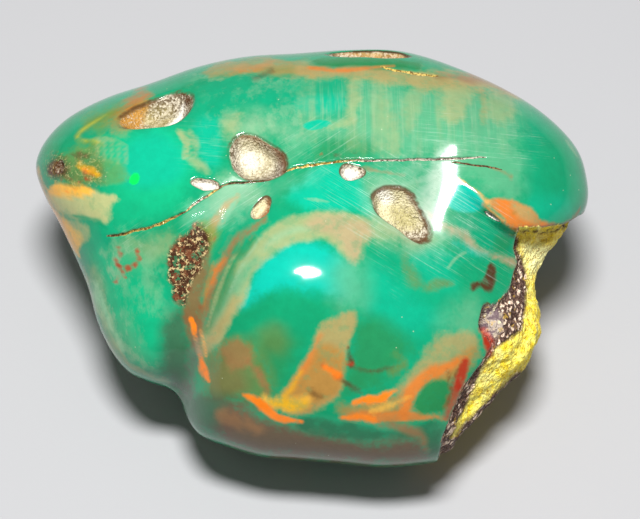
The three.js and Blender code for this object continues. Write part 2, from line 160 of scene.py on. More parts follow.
# Each shape is its tone, the softness of its edge, its strength and its outline in photograph pixels.
# A shape with a last list is a stroke along a path, and the list holds its half widths.
# Broad soft fields come first.
FIELDS = [
    ("jade", 14, 0.8, [(100, 150), (126, 128), (180, 130), (196, 160), (180, 200), (120, 236), (100, 220),
        (112, 186)]),
    ("teal", 10, 0.8, [(128, 142), (160, 134), (182, 150), (180, 172), (160, 186), (134, 184), (122, 166)]),
    ("sea", 12, 0.9, [(190, 112), (212, 84), (262, 78), (300, 84), (345, 88), (350, 110), (290, 118),
        (226, 120), (222, 166), (196, 160)]),
    ("teal", 7, 0.7, [(298, 96), (338, 94), (346, 104), (330, 113), (300, 111)]),
    ("teal", 7, 0.75, [(196, 126), (214, 120), (222, 132), (218, 166), (202, 166)]),
    ("teal", 7, 1, [(288, 200), (296, 184), (322, 166), (345, 170), (366, 190), (376, 212), (340, 210),
        (310, 212)]),
    ("aqua", 9, 1, [(240, 304), (252, 282), (270, 262), (288, 248), (314, 242), (342, 258), (366, 280),
        (368, 306), (330, 296), (290, 290), (262, 296)]),
    ("sea", 14, 0.9, [(366, 250), (402, 246), (452, 262), (462, 292), (440, 330), (400, 342), (362, 330),
        (352, 300)]),
    ("teal", 12, 0.55, [(362, 268), (384, 272), (420, 302), (448, 322), (400, 332), (366, 312)]),
    ("green", 14, 0.9, [(244, 312), (290, 298), (330, 302), (318, 334), (296, 366), (276, 392), (254, 360),
        (232, 330)]),
    ("leaf", 14, 0.75, [(252, 346), (276, 330), (300, 340), (292, 366), (278, 388), (262, 372)]),
    ("leaf", 12, 0.8, [(350, 322), (380, 320), (412, 344), (392, 372), (362, 394), (344, 394), (345, 352)]),
    ("sea", 10, 0.9, [(430, 222), (462, 214), (500, 226), (512, 238), (486, 238), (452, 232)]),
    ("teal", 12, 0.5, [(404, 248), (440, 246), (470, 262), (462, 290), (426, 284)]),
    ("green", 9, 0.8, [(452, 262), (486, 262), (508, 262), (506, 282), (484, 304), (460, 296)]),
    ("sea", 16, 0.9, [(516, 100), (545, 106), (580, 150), (588, 188), (574, 216), (535, 214), (520, 180),
        (526, 140)]),
    ("green", 12, 0.7, [(540, 140), (560, 136), (576, 160), (570, 190), (548, 196), (536, 170)]),
    ("teal", 8, 0.4, [(528, 200), (560, 196), (572, 210), (556, 222), (536, 216)]),
    ("veil", 16, 0.85, [(236, 124), (300, 120), (346, 112), (366, 84), (440, 82), (516, 96), (524, 122),
        (500, 150), (420, 156), (330, 142), (290, 156), (276, 134)]),
    ("veil", 14, 0.8, [(440, 150), (500, 140), (524, 160), (520, 200), (490, 198), (462, 176)]),
    ("leaf", 10, 0.7, [(318, 144), (350, 138), (372, 146), (368, 160), (330, 164), (312, 160)]),
    ("mist", 12, 0.55, [(226, 172), (262, 188), (250, 206), (226, 222), (204, 214), (210, 196)]),
    ("mist", 14, 0.5, [(372, 182), (404, 182), (440, 214), (436, 236), (404, 248), (376, 230)]),
    ("tan", 12, 0.6, [(374, 222), (396, 216), (424, 232), (420, 246), (394, 246), (376, 240)]),
    ("mist", 14, 0.5, [(232, 118), (262, 116), (276, 128), (262, 138), (236, 134)]),
    ("veil", 16, 0.7, [(335, 262), (362, 262), (366, 300), (350, 312), (334, 300)]),
    ("veil", 16, 0.75, [(440, 318), (470, 300), (482, 320), (476, 336), (450, 338)]),
    ("tan", 9, 0.45, [(116, 240), (166, 238), (170, 250), (152, 266), (126, 276), (112, 262)]),
    ("tan", 9, 0.6, [(96, 268), (104, 284), (98, 292), (88, 272)]),
    ("tan", 8, 0.5, [(118, 316), (134, 318), (138, 336), (150, 352), (138, 358), (122, 338)]),
    ("tan", 7, 0.4, [(144, 274), (156, 278), (160, 296), (148, 298)]),
    # Partly the stone's own green and partly painted light: a brighter green lifting the left wing.
    ("jade", 16, 0.85, [(104, 250), (150, 262), (164, 330), (152, 362), (126, 352), (104, 306)]),
    ("jade", 9, 0.6, [(116, 282), (140, 282), (152, 308), (146, 330), (124, 314)]),
    ("jade", 9, 0.7, [(142, 322), (160, 326), (158, 362), (140, 366), (138, 340)]),
    # Painted shade: a dark green in the lower part of the fold.
    ("dusk", 11, 0.75, [(168, 318), (186, 318), (192, 350), (190, 392), (174, 388), (160, 350)]),
    ("olive", 10, 0.6, [(216, 352), (250, 340), (276, 392), (246, 400), (212, 402), (206, 378)]),
    ("rust", 10, 0.45, [(212, 366), (226, 356), (244, 372), (248, 392), (222, 398), (210, 386)]),
    ("olive", 10, 0.4, [(258, 330), (282, 322), (292, 340), (280, 356), (262, 350)]),
    # Along the near bottom wall: partly its own dark olive-brown, partly painted shade and a painted dark
    # reflection of the ground.
    ("dusk", 10, 0.8, [(178, 386), (206, 392), (232, 398), (240, 420), (214, 438), (186, 420)]),
    ("earth", 11, 0.92, [(222, 412), (244, 402), (274, 418), (304, 428), (360, 440), (418, 440), (422, 462),
        (300, 464), (226, 444)]),
    ("dusk", 10, 0.5, [(430, 424), (446, 428), (440, 452), (428, 460)])]
# Bands and patches with clearer edges, over the broad fields.
FIGURES = [
    ("tan", 4, 0.85, [(203, 346), (207, 325), (216, 300), (230, 276), (246, 252), (262, 234), (282, 220),
        (304, 215), (338, 213), (362, 218), (371, 225), (366, 245), (356, 262), (345, 257), (332, 245),
        (312, 241), (292, 245), (275, 256), (258, 272), (242, 299), (230, 326), (216, 352)]),
    ("veil", 5, 0.7, [(218, 324), (226, 302), (240, 280), (256, 262)], [3, 5, 6, 4]),
    ("mist", 4, 0.6, [(262, 252), (276, 240), (292, 231), (310, 228)], [2, 4, 4, 2]),
    ("blush", 6, 0.68, [(306, 221), (336, 216), (371, 225), (366, 246), (355, 262), (344, 252), (332, 238),
        (316, 232)]),
    ("sand", 5, 0.7, [(236, 296), (226, 318), (214, 340), (206, 352)], [4, 5, 6, 5]),
    ("leaf", 4, 0.75, [(252, 240), (236, 262), (225, 286), (215, 310), (207, 334)], [3, 5, 6, 5, 3]),
    ("clay", 3.5, 0.85, [(263, 217), (244, 232), (229, 252), (217, 275), (209, 298), (202, 325),
        (198, 346)], [1.5, 3, 4, 4, 4.5, 5, 5]),
    ("amber", 3, 0.8, [(223, 260), (213, 277), (206, 294)], [1.5, 3.5, 1.5]),
    ("green", 3, 0.8, [(240, 204), (224, 227), (213, 252), (206, 276)], [2, 3.5, 3.5, 2]),
    ("honey", 3, 0.75, [(237, 197), (222, 208), (212, 222), (206, 242)], [2, 3.5, 4, 3]),
    ("rust", 5, 0.8, [(187, 284), (197, 262), (206, 248), (209, 272), (205, 300), (201, 330), (193, 346),
        (185, 322)]),
    ("moss", 6, 0.7, [(196, 226), (206, 222), (214, 232), (210, 250), (202, 250)]),
    ("clay", 5, 0.75, [(222, 350), (238, 341), (252, 350), (252, 366), (236, 372), (222, 361)]),
    ("clay", 4, 0.8, [(246, 362), (258, 376), (270, 392)], [3, 4, 2]),
    ("grey", 6, 0.5, [(198, 330), (202, 352), (196, 390), (190, 392), (190, 352)]),
    ("butter", 3, 1, [(47, 197), (70, 194), (90, 190), (104, 196), (120, 200), (112, 209), (110, 222),
        (90, 219), (64, 216)]),
    ("apricot", 2.5, 1, [(56, 186), (70, 183), (86, 184), (92, 190), (87, 196), (72, 197), (49, 198)]),
    ("tan", 3, 0.8, [(64, 222), (82, 224), (91, 231), (85, 241), (74, 244)]),
    ("apricot", 3, 0.8, [(64, 226), (76, 230), (82, 240), (76, 246)]),
    ("moss", 5, 0.6, [(64, 150), (98, 146), (100, 176), (80, 182), (64, 182), (54, 172)]),
    ("moss", 4, 0.45, [(94, 156), (116, 158), (126, 166), (124, 180), (96, 182)]),
    ("tan", 2.5, 0.8, [(181, 134), (185, 143), (184, 153)], [3, 4, 3]),
    ("tan", 3, 0.55, [(190, 132), (195, 144), (194, 153)], [1.5, 2.5, 2]),
    ("tan", 4, 0.6, [(190, 158), (199, 164), (206, 174)], [3, 5, 2]),
    ("umber", 5, 0.85, [(112, 117), (128, 105), (144, 95)], [3, 6, 5]),
    ("honey", 8, 0.7, [(104, 124), (118, 110), (140, 98), (146, 110), (138, 124), (122, 132)]),
    ("moss", 7, 0.6, [(82, 120), (104, 108), (122, 104), (112, 124), (96, 134)]),
    ("teal", 1.2, 1, [(301, 121), (310, 119), (322, 119.5), (331, 123), (322, 127.5), (308, 129),
        (301, 126)]),
    ("tan", 5, 0.6, [(331, 128), (344, 122), (350, 112), (356, 84)], [3, 5, 6, 5]),
    ("tan", 6, 0.45, [(384, 84), (390, 110), (394, 150)], [3, 5, 4]),
    ("tan", 6, 0.7, [(440, 84), (470, 82), (466, 112), (446, 122)]),
    ("sand", 4, 0.5, [(484, 92), (485, 108), (482, 124)], [2, 3, 2]),
    ("tan", 6, 0.5, [(490, 96), (515, 100), (514, 118), (494, 120)]),
    ("tan", 5, 0.4, [(404, 88), (420, 84), (412, 128), (406, 128)]),
    ("tan", 8, 0.6, [(224, 118), (240, 117), (236, 130), (224, 136)]),
    ("straw", 5, 0.95, [(204, 72), (224, 62), (262, 57), (292, 62), (312, 64), (312, 76), (280, 76),
        (256, 72), (232, 76)]),
    ("sand", 5, 0.8, [(304, 71), (345, 73), (390, 74), (430, 79), (480, 84), (515, 96)],
        [6, 6, 7, 8, 7, 4]),
    ("amber", 3, 0.4, [(232, 70), (256, 68), (272, 64)], [2, 2.5, 1.5]),
    ("amber", 2.5, 0.65, [(312, 68), (345, 70), (372, 67), (392, 66)], [1.5, 2.5, 2, 1.5]),
    ("clay", 3.5, 0.8, [(438, 76), (466, 79), (494, 84), (524, 98)], [2, 4, 3.5, 2]),
    ("leaf", 2, 1, [(312, 63), (330, 58), (395, 60), (420, 64), (417, 69.5), (395, 70), (345, 67),
        (315, 66)]),
    ("sea", 2, 1, [(270, 57), (300, 56), (300, 61), (286, 63)]),
    ("amber", 2.5, 1, [(484, 202), (500, 199), (518, 203), (536, 212), (548, 224), (548, 231), (520, 230),
        (506, 222), (494, 212)]),
    ("sand", 3, 0.85, [(514, 206), (530, 208), (540, 217), (536, 222), (522, 219)]),
    ("peach", 2, 0.8, [(457, 178), (469, 187), (479, 197), (487, 205)], [0.8, 1.2, 2, 3]),
    ("clay", 2.5, 0.85, [(528, 228), (552, 226), (572, 219), (580, 210)], [3, 3, 2, 1]),
    ("blush", 4, 0.8, [(428, 216), (455, 231), (482, 248), (506, 260), (518, 264)], [2, 4.5, 4.5, 3, 3]),
    ("leaf", 4, 0.6, [(500, 232), (512, 240), (508, 254), (496, 248)]),
    ("olive", 6, 0.5, [(404, 256), (408, 268), (415, 281), (426, 290)], [3, 4, 4, 2]),
    ("olive", 5, 0.6, [(430, 284), (442, 283), (450, 287), (434, 291)]),
    ("sand", 4, 0.85, [(326, 322), (350, 311), (354, 316), (346, 342), (340, 372), (338, 396), (320, 406),
        (300, 412), (284, 408), (284, 396), (298, 370), (314, 342)]),
    ("honey", 5, 0.9, [(318, 346), (341, 350), (339, 392), (318, 404), (300, 410), (286, 406), (298, 374)]),
    ("amber", 4, 0.75, [(322, 334), (308, 360), (298, 378), (288, 392)], [1, 3, 4, 3]),
    ("apricot", 5, 0.8, [(268, 398), (280, 402), (296, 404), (308, 400)], [2, 5, 6, 3]),
    ("gold", 4, 0.9, [(274, 400), (286, 402), (298, 404), (306, 402)], [2, 4, 5, 2]),
    ("gold", 4, 0.7, [(286, 398), (293, 386), (300, 374)], [3, 3, 1]),
    ("sand", 6, 0.75, [(430, 346), (450, 330), (478, 334), (478, 352), (462, 362), (430, 372), (404, 404),
        (396, 396)]),
    ("honey", 5, 0.7, [(338, 404), (372, 402), (404, 394), (412, 412), (380, 416), (345, 414)]),
    ("honey", 6, 0.85, [(440, 384), (452, 372), (474, 352)], [8, 9, 6]),
    ("amber", 3.5, 0.95, [(403, 416), (411, 394), (430, 374), (450, 366), (464, 360)], [5, 7, 7, 6, 3]),
    ("amber", 2.5, 0.8, [(341, 418), (352, 411), (374, 410), (410, 413), (446, 417), (446, 420), (405, 422),
        (372, 420)]),
    ("leaf", 2.5, 1, [(414, 406), (421, 391), (432, 382), (447, 383), (448, 400), (440, 412),
        (420, 416)]),
    # Along the near bottom wall: partly its own dark green, partly painted shade and a painted dark
    # reflection of the ground.
    ("deep", 4, 0.9, [(303, 415), (345, 422), (400, 431), (426, 424), (440, 424), (440, 442), (430, 458),
        (416, 440), (350, 437), (306, 432)]),
    ("clay", 4, 0.8, [(380, 424), (402, 430), (420, 438), (424, 448)], [2, 3, 4, 3]),
    ("tan", 3, 0.7, [(82, 268), (94, 302), (106, 332), (126, 361), (150, 376), (168, 381)],
        [1, 2, 2, 2.5, 2, 1]),
    ("tan", 3, 0.5, [(100, 290), (106, 314), (113, 334), (120, 352)], [1, 2, 2, 1]),
    ("apricot", 3, 1, [(50, 206), (60, 220), (68, 236), (77, 254)], [3, 5, 6, 3]),
    ("peach", 3, 0.7, [(37, 168), (40, 184), (50, 202), (62, 224)], [1, 2, 1.5, 1]),
    ("pale", 4, 0.8, [(92, 282), (100, 308), (110, 330), (122, 350)], [2, 4, 4, 2]),
    ("clay", 6, 0.75, [(224, 416), (240, 420), (262, 428)], [5, 8, 5]),
    ("aqua", 5, 0.6, [(452, 240), (472, 248), (490, 254)], [3, 4, 3])]
# Small sharp marks in orange, red, gold and brown.
MARKS = [
    ("orange", 1.5, 1, [(192, 322), (195, 332), (197, 341)], [2.5, 3.2, 1.5]),
    ("orange", 1.8, 1, [(201, 356), (206, 366), (210, 379)], [1.5, 3.6, 1.5]),
    ("blush", 2.5, 0.6, [(197, 342), (199, 348), (202, 356)], [2, 2, 2]),
    ("orange", 2, 1, [(245, 396), (257, 400), (269, 406), (283, 415), (304, 420)], [1.5, 4, 5, 3.5, 1.5]),
    ("orange", 2.4, 1, [(355, 403), (370, 400), (386, 396.5), (396, 390)], [2.5, 4, 3.4, 1]),
    ("apricot", 3, 0.6, [(372, 410), (392, 405), (410, 398)], [1, 2.5, 1]),
    ("orange", 2, 0.8, [(344, 416), (358, 416), (376, 418)], [1.5, 3, 1.5]),
    ("red", 3, 0.6, [(322, 368), (328, 371)], [3, 3]),
    ("red", 3, 0.6, [(333, 376), (337, 379)], [3, 3]),
    ("orange", 3, 0.7, [(324, 369), (336, 378)], [3.5, 3.5]),
    ("gold", 2.5, 1, [(82, 162), (90, 167), (98, 172)], [3, 4.5, 3]),
    ("red", 1.5, 0.8, [(84, 172), (92, 177)], [1, 1.5]),
    ("orange", 1.5, 0.8, [(85, 166), (92, 168)], [1.2, 1.2]),
    ("orange", 1.8, 0.6, [(66, 191), (76, 190)], [2, 2]),
    ("lime", 1.2, 1, [(129.5, 178), (132, 170.5), (136, 170), (139, 176), (137, 182), (132, 182.5)]),
    ("citron", 2, 0.8, [(194, 228), (201, 232), (206, 241)], [1, 2.5, 1.5]),
    ("red", 2, 0.6, [(207, 246), (211, 240)], [1.5, 1.5]),
    ("brown", 3, 0.85, [(66, 152), (77, 151.5), (88, 153)], [0.8, 1.8, 0.8]),
    ("brown", 3, 1, [(47, 168), (52, 159), (60, 158), (66, 164), (65, 173), (56, 177), (49, 174)]),
    ("green", 2, 0.9, [(64, 217), (80, 218), (96, 222), (107, 227)], [1, 1.5, 1.5, 1]),
    ("mist", 1.5, 0.7, [(304, 198), (316, 199.5), (327, 203)], [0.5, 1.6, 0.5]),
    ("brown", 2.5, 1, [(493, 263), (497, 273), (494, 286), (486, 293), (479, 290), (472, 295), (470, 288),
        (481, 282), (488, 272)]),
    ("red", 3, 1, [(482, 328), (487, 340), (489, 353)], [3, 5, 3]),
    ("red", 3, 0.95, [(466, 362), (462, 376), (457, 386)], [3, 5, 5]),
    ("red", 4, 0.8, [(458, 384), (452, 398), (447, 416)], [5, 6, 5]),
    ("brown", 2, 0.6, [(456, 372), (450, 388), (446, 402)], [0.8, 1.2, 0.8]),
    ("brown", 2.5, 0.9, [(345, 346), (347, 358), (348, 368)], [1, 2.2, 3]),
    ("brown", 3, 0.7, [(352, 370), (370, 373), (394, 367)], [1.5, 2, 1]),
    ("brown", 2.5, 0.8, [(341, 384), (351, 390), (362, 394)], [1, 2, 1]),
    ("olive", 5, 0.6, [(396, 352), (404, 362), (392, 372)], [2, 3, 2]),
    ("brown", 3, 0.6, [(306, 393), (314, 396), (321, 398)], [1, 2, 1]),
    ("brown", 2.5, 0.6, [(446, 370), (448, 380), (447, 386)], [1, 1.5, 1]),
    ("brown", 3, 0.5, [(254, 80), (266, 73), (272, 70)], [2, 2.5, 1]),
    ("brown", 2, 0.8, [(334, 157), (336, 157)], [1, 1]),
    ("brown", 2, 0.8, [(351, 154), (353, 154)], [1, 1]),
    ("olive", 2, 0.7, [(485, 200), (490, 200)], [1, 1]),
    ("olive", 2, 0.7, [(514, 214), (517, 214)], [1, 1]),
    ("clay", 2, 0.6, [(485, 167), (500, 172), (512, 180)], [1, 1, 1]),
    ("clay", 2.5, 0.7, [(360, 171), (380, 174), (405, 178)], [0.6, 1.2, 0.6])]
# Thin lines, and painted highlights: a soft white glow along the glare streak and a thin glint on the right
# bulb.
LINES = [
    ("aqua", 2.2, 1, [(449, 184), (462, 183), (477, 193), (485, 204), (479, 210), (464, 212),
        (448, 206)]),
    # Painted highlight: a soft white glow along the glare streak.
    ("white", 11, 0.42, [(450, 152), (436, 184), (427, 222)], [5, 9, 7]),
    ("moss", 3, 0.9, [(112, 112), (94, 122), (80, 132), (78, 140), (92, 142), (102, 146)],
        [1, 2, 2.4, 2, 2, 1]),
    ("citron", 1.6, 0.9, [(104, 116), (88, 126), (78, 134), (80, 140), (91, 140), (99, 143)],
        [0.6, 1.2, 1.6, 1.2, 1, 0.6]),
    ("tan", 2, 0.5, [(96, 138), (112, 139), (124, 144)], [0.6, 1, 0.6]),
    ("mist", 1.5, 0.6, [(448, 268), (456, 258), (466, 252)], [1, 1.4, 1]),
    # Painted highlight: a thin pale glint on the right bulb.
    ("mist", 1.5, 0.6, [(566, 140), (573, 150), (578, 158)], [0.8, 1.2, 0.6]),
    ("peach", 2, 0.8, [(200, 330), (204, 342), (206, 356)], [0.6, 1, 0.6]),
    ("honey", 2, 0.7, [(214, 262), (208, 282), (204, 306)], [0.8, 1.4, 0.8]),
    ("tan", 2, 0.7, [(244, 240), (228, 268), (216, 298), (208, 326)], [0.8, 1.6, 1.6, 0.8]),
    ("mist", 2, 0.6, [(262, 236), (244, 262), (230, 292)], [0.8, 1.6, 0.8]),
    ("amber", 2, 0.8, [(310, 68), (345, 70.5), (372, 67.5), (394, 66)], [0.8, 1.4, 1.2, 0.8]),
    ("orange", 2, 0.7, [(484, 204), (494, 214), (507, 224), (520, 231), (546, 230)], [1, 1.2, 1.6, 1.6, 1])]
# Five faint upright lines, each by its top and bottom.
RULED = [
    ((98, 140), (97, 158)), ((105, 139), (104, 161)), ((112, 141), (111, 162)), ((119, 144), (118, 163)),
    ((126, 147), (126, 163))]
LINES += [("tan", 2.2, 0.38, ends, [1.5]) for ends in RULED]
# Red dots, each by its place and half width.
DOTS = [
    (119, 248, 2), (121, 254, 1.8), (116, 260, 1.2), (119, 266, 2.6), (122, 272, 1.4), (117, 277, 1),
    (125, 277, 1), (137, 250, 2), (139, 257, 2.4), (134, 263, 2), (128, 267, 2.4), (115, 282, 1),
    (62, 180, 1.2), (70, 178, 1.4), (78, 181, 1.2), (86, 176, 1.4), (92, 173, 1), (347, 365, 2.6),
    (320, 156, 0.8)]
MARKS += [("red", 2, 0.85, [(x - 0.5, y), (x + 0.5, y)], [r, r]) for x, y, r in DOTS]
# Where dark grains lie.
SPECKS = [
    ("rust", 3, 1, [(196, 224), (206, 234), (207, 250), (199, 272), (192, 290), (184, 306), (174, 300),
        (170, 282), (167, 262), (173, 245), (186, 233)]),
    ("rust", 4, 0.5, [(48, 156), (66, 154), (70, 172), (58, 182), (46, 176)]),
    ("rust", 6, 0.3, [(64, 158), (100, 152), (106, 180), (70, 186)])]
# Where the rough side is yellow, and the painted shadow under the lip at its top.
YELLOW = [
    ("gold", 2.5, 1, [(512, 224), (518, 240), (519, 252), (524, 262), (527, 275), (527, 290), (525, 305),
        (524, 318), (520, 330), (510, 338), (500, 346), (493, 354), (487, 362), (482, 371), (478, 380),
        (473, 390), (468, 400), (464, 410), (459, 420), (455, 430), (451, 438), (458, 432), (466, 422),
        (476, 412), (485, 403), (494, 393), (505, 383), (516, 374), (532, 368), (548, 350), (552, 330),
        (552, 300), (552, 280), (562, 262), (576, 244), (586, 222), (550, 212)])]
# Painted shadow under the lip: a gold band, partly the crust's own colour, and a dark brown line.
SHELF = [
    ("gold", 5, 0.5, [(514, 235), (530, 238), (548, 237), (568, 230)], [3, 4, 4, 3]),
    ("brown", 2, 1, [(503, 226), (520, 231), (545, 231.5), (562, 227), (578, 218)], [1, 1.5, 2, 2.5, 3])]
# Colours of the pits and of the hollow in the rough side, with painted shade on some pit walls and a
# painted highlight in one pit.
HOLLOWS = [
    ("honey", 5, 1, [(114, 112), (136, 94), (148, 100), (146, 114), (138, 132), (120, 132)]),
    ("straw", 6, 0.3, [(144, 112), (166, 104), (176, 114), (164, 130), (146, 132)]),
    ("white", 3, 0.8, [(184, 106), (180, 118), (170, 128), (156, 133)], [2, 3, 3, 1]),
    # Brown along the first pit's upper edge and hook: partly its own brown, partly painted shade.
    ("brown", 3.5, 0.7, [(150, 95), (168, 90), (184, 86)], [1, 2.5, 3]),
    ("brown", 2, 1, [(176, 92), (184, 94), (188, 101), (185, 107)], [2, 3, 3, 1]),
    ("brown", 2.5, 1, [(182, 90), (190, 86), (198, 81)], [4, 4, 2]),
    # Rust and grey along the second pit's upper and right walls: partly its own colour, partly painted
    # shade.
    ("rust", 3.5, 0.8, [(228, 144), (240, 136), (258, 138), (276, 148), (284, 164), (283, 175)],
        [1.5, 3, 5, 6, 5, 2]),
    ("grey", 6, 0.5, [(266, 150), (280, 164), (276, 178), (258, 182)], [4, 6, 6, 3]),
    # Partly the pale sugar and partly a painted highlight: the white middle of the second pit.
    ("white", 9, 0.85, [(238, 154), (250, 150), (260, 160), (252, 172), (240, 168)]),
    ("cream", 6, 0.5, [(240, 140), (262, 142), (276, 160), (266, 176), (240, 176)]),
    ("white", 4, 1, [(192, 184), (206, 182), (218, 187), (206, 191)]),
    ("white", 5, 0.9, [(342, 172), (352, 168), (360, 175), (350, 181)]),
    ("cream", 7, 0.9, [(372, 186), (398, 188), (420, 212), (416, 230), (392, 230), (376, 212)]),
    ("straw", 6, 0.6, [(392, 206), (412, 212), (414, 228), (396, 226)]),
    ("white", 5, 0.9, [(376, 188), (388, 190), (393, 200), (382, 202)]),
    ("cream", 4, 1, [(251, 208), (259, 197), (267, 203), (262, 219), (254, 223)]),
    ("white", 3, 0.9, [(484, 211), (492, 211), (502, 219), (497, 222), (488, 218)]),
    # Rust at the third pit's top and the fourth pit's right side, brown at the sixth pit's lower right:
    # partly their own colour, partly painted shade on their walls.
    ("rust", 2, 0.95, [(190, 179), (202, 176), (216, 180), (222, 187)], [1, 2.5, 2.5, 1.5]),
    ("rust", 2.5, 0.9, [(268, 200), (270, 208), (262, 218), (252, 222)], [2, 3, 3, 1.5]),
    ("brown", 3.5, 0.9, [(410, 198), (424, 212), (434, 230), (424, 242), (408, 240)], [2, 4, 6, 5, 2]),
    ("brown", 4, 0.9, [(48, 158), (66, 158), (66, 176), (50, 176)]),
    ("honey", 4, 0.6, [(336, 52), (372, 56), (410, 58)], [3, 3, 3]),
    ("grey", 3, 1, [(481, 306), (491, 303), (500, 312), (502, 328), (493, 338), (482, 332), (478, 318)])]
# Where pale upright streaks run through the ridge.
STREAKS = [("grey", 24, 1, [(306, 104), (330, 86), (390, 80), (510, 92), (516, 118), (470, 142),
    (390, 146), (326, 134)])]
# Where pale mottling wanders through the green.
MOTTLE = [
    ("grey", 12, 0.9, [(106, 244), (150, 240), (140, 262), (122, 300), (134, 340), (150, 366), (128, 360),
        (98, 300)]),
    ("grey", 12, 0.4, [(140, 262), (166, 256), (166, 300), (162, 356), (140, 340), (126, 300)]),
    ("grey", 12, 0.7, [(196, 70), (300, 62), (310, 78), (220, 92)]),
    ("grey", 16, 0.6, [(214, 110), (290, 100), (330, 130), (280, 150), (226, 130)])]
# Where the polish is dull and milky, and a pale tint paints the soft sheen of the key light there.
HAZE = [
    ("grey", 9, 0.4, [(232, 186), (262, 186), (296, 174), (312, 170), (314, 180), (292, 190), (262, 204),
        (232, 220), (204, 224), (190, 210), (206, 196)]),
    ("grey", 14, 1, [(372, 178), (420, 168), (440, 166), (444, 190), (452, 214), (466, 232), (440, 246),
        (404, 246), (374, 216)])]
DULL = [("grey", 7, 1, [(178, 212), (202, 192), (234, 182), (248, 194), (232, 224), (200, 236),
    (184, 230)])]
# Where the yellow is paler.
BLOOM = [("cream", 6, 1, [(522, 246), (540, 244), (556, 246), (550, 260), (538, 274), (530, 268)])]
# Where the polish is scratched, by the way the scratches run.
SLANTED = [("grey", 18, 1, [(340, 180), (420, 172), (470, 200), (520, 240), (516, 274), (450, 262),
    (372, 246)])]
LEVEL = [
    ("grey", 16, 1, [(434, 128), (500, 132), (526, 150), (500, 162), (440, 160)]),
    ("grey", 10, 0.5, [(186, 132), (228, 130), (228, 158), (190, 160)])]
RISING = [
    ("grey", 14, 1, [(286, 150), (312, 132), (350, 122), (352, 136), (300, 166)]),
    ("grey", 10, 1, [(186, 222), (204, 200), (240, 184), (262, 190), (228, 212), (200, 234)]),
    ("grey", 6, 0.9, [(122, 230), (142, 230), (136, 248), (126, 248)])]

LAYERS = {
    "fields": FIELDS, "figures": FIGURES, "marks": MARKS, "lines": LINES, "specks": SPECKS,
    "yellow": YELLOW, "shelf_shadow": SHELF, "hollows": HOLLOWS, "streaks": STREAKS, "mottle": MOTTLE,
    "haze_and_sheen": HAZE, "dull": DULL, "bloom": BLOOM, "slanted": SLANTED, "level": LEVEL, "rising": RISING}

# The layers whose shapes aren't bent by the flow of the stone.
STEADY = ("lines", "yellow", "shelf_shadow", "hollows", "bloom")

tilt = np.radians(PLANE_TILT)
RIGHT = np.array([1, 0, 0])
UP = np.array([0, np.sin(tilt), np.cos(tilt)])
NEAR = np.array([0, -np.cos(tilt), np.sin(tilt)])
CENTRE = np.array([0.0, 0.0, CENTRE_HEIGHT])


def smooth(start, end, x):
    t = np.clip((x - start) / (end - start), 0, 1)
    return t * t * (3 - 2 * t)


def spline(points, closed=False, steps=6):
    """A curve through the points, in short straight steps."""
    p = np.asarray(points, float)
    count = len(p)
    before, after = (p[-1], p[0]) if closed else (2 * p[0] - p[1], 2 * p[-1] - p[-2])
    p = np.vstack([before, p, after] + ([p[1]] if closed else []))
    t = np.arange(steps)[:, None] / steps
    out = []
    for a, b, c, d in zip(p[:-3], p[1:-2], p[2:-1], p[3:]):
        curve = 2 * b + (c - a) * t + (2 * a - 5 * b + 4 * c - d) * t ** 2
        out.append((curve + (3 * b - a - 3 * c + d) * t ** 3) / 2)
    if not closed:
        out.append(p[count:count + 1])
    return np.vstack(out)


ring = spline(OUTLINE, True, 16)
ring_angle = np.arctan2(ring[:, 1], ring[:, 0])
ring_order = np.argsort(ring_angle)


def outline_radius(angle):
    return np.interp(angle, ring_angle[ring_order], np.hypot(*ring.T)[ring_order], period=2 * np.pi)


def along(q, path):
    """The distance from each place to the path, how far along it that is, and the side, 1 for the right."""
    path = np.asarray(path, float)
    best, place, side, run = np.full(len(q), np.inf), np.zeros(len(q)), np.zeros(len(q)), 0.0
    for a, b in zip(path[:-1], path[1:]):
        step, v = b - a, q - a
        length = np.hypot(*step)
        t = np.clip(v @ step / length ** 2, 0, 1)
        gap = np.hypot(*(v - t[:, None] * step).T)
        near = gap < best
        best[near] = gap[near]
        place[near] = (run + t * length)[near]
        side[near] = np.where(step[0] * v[:, 1] - step[1] * v[:, 0] > 0, -1, 1)[near]
        run += length
    return best, place / run, side


def value_at(values, place):
    return np.interp(place, np.linspace(0, 1, len(values)), values)


def fold_height(folds, q):
    height = np.zeros(len(q))
    for path, heights, width in folds:
        gap, place, _ = along(q, spline(path))
        height += value_at(heights, place) * np.exp(-(gap / width) ** 2)
    return height


def bump(q, at, spread):
    return np.exp(-((q[:, 0] - at[0]) / spread[0]) ** 2 - ((q[:, 1] - at[1]) / spread[1]) ** 2)


def near_relief(q):
    gap, place, side = along(q, spline(LIP_PATH))
    step = (side > 0) * value_at(LIP_STEPS, place) * smooth(-0.1, LIP_EDGE, gap)
    dome = DOME_HEIGHT * bump(q, DOME_AT, DOME_SPREAD)
    return fold_height(NEAR_FOLDS, q) + dome - step * np.exp(-(gap / LIP_REACH) ** 2)


def lumps(points, length, seed):
    """Soft lumps between about -1 and 1."""
    total = np.zeros(len(points))
    for i in range(6):
        a, b = seed + 2.4 * i, seed * 1.7 + 1.3 * i
        across = points @ [np.cos(a) * np.cos(b), np.sin(a) * np.cos(b), np.sin(b)]
        total += np.sin(across * 2 * np.pi / (length * (1 + 0.13 * i)) + 1.9 * i + seed)
    return total / 3


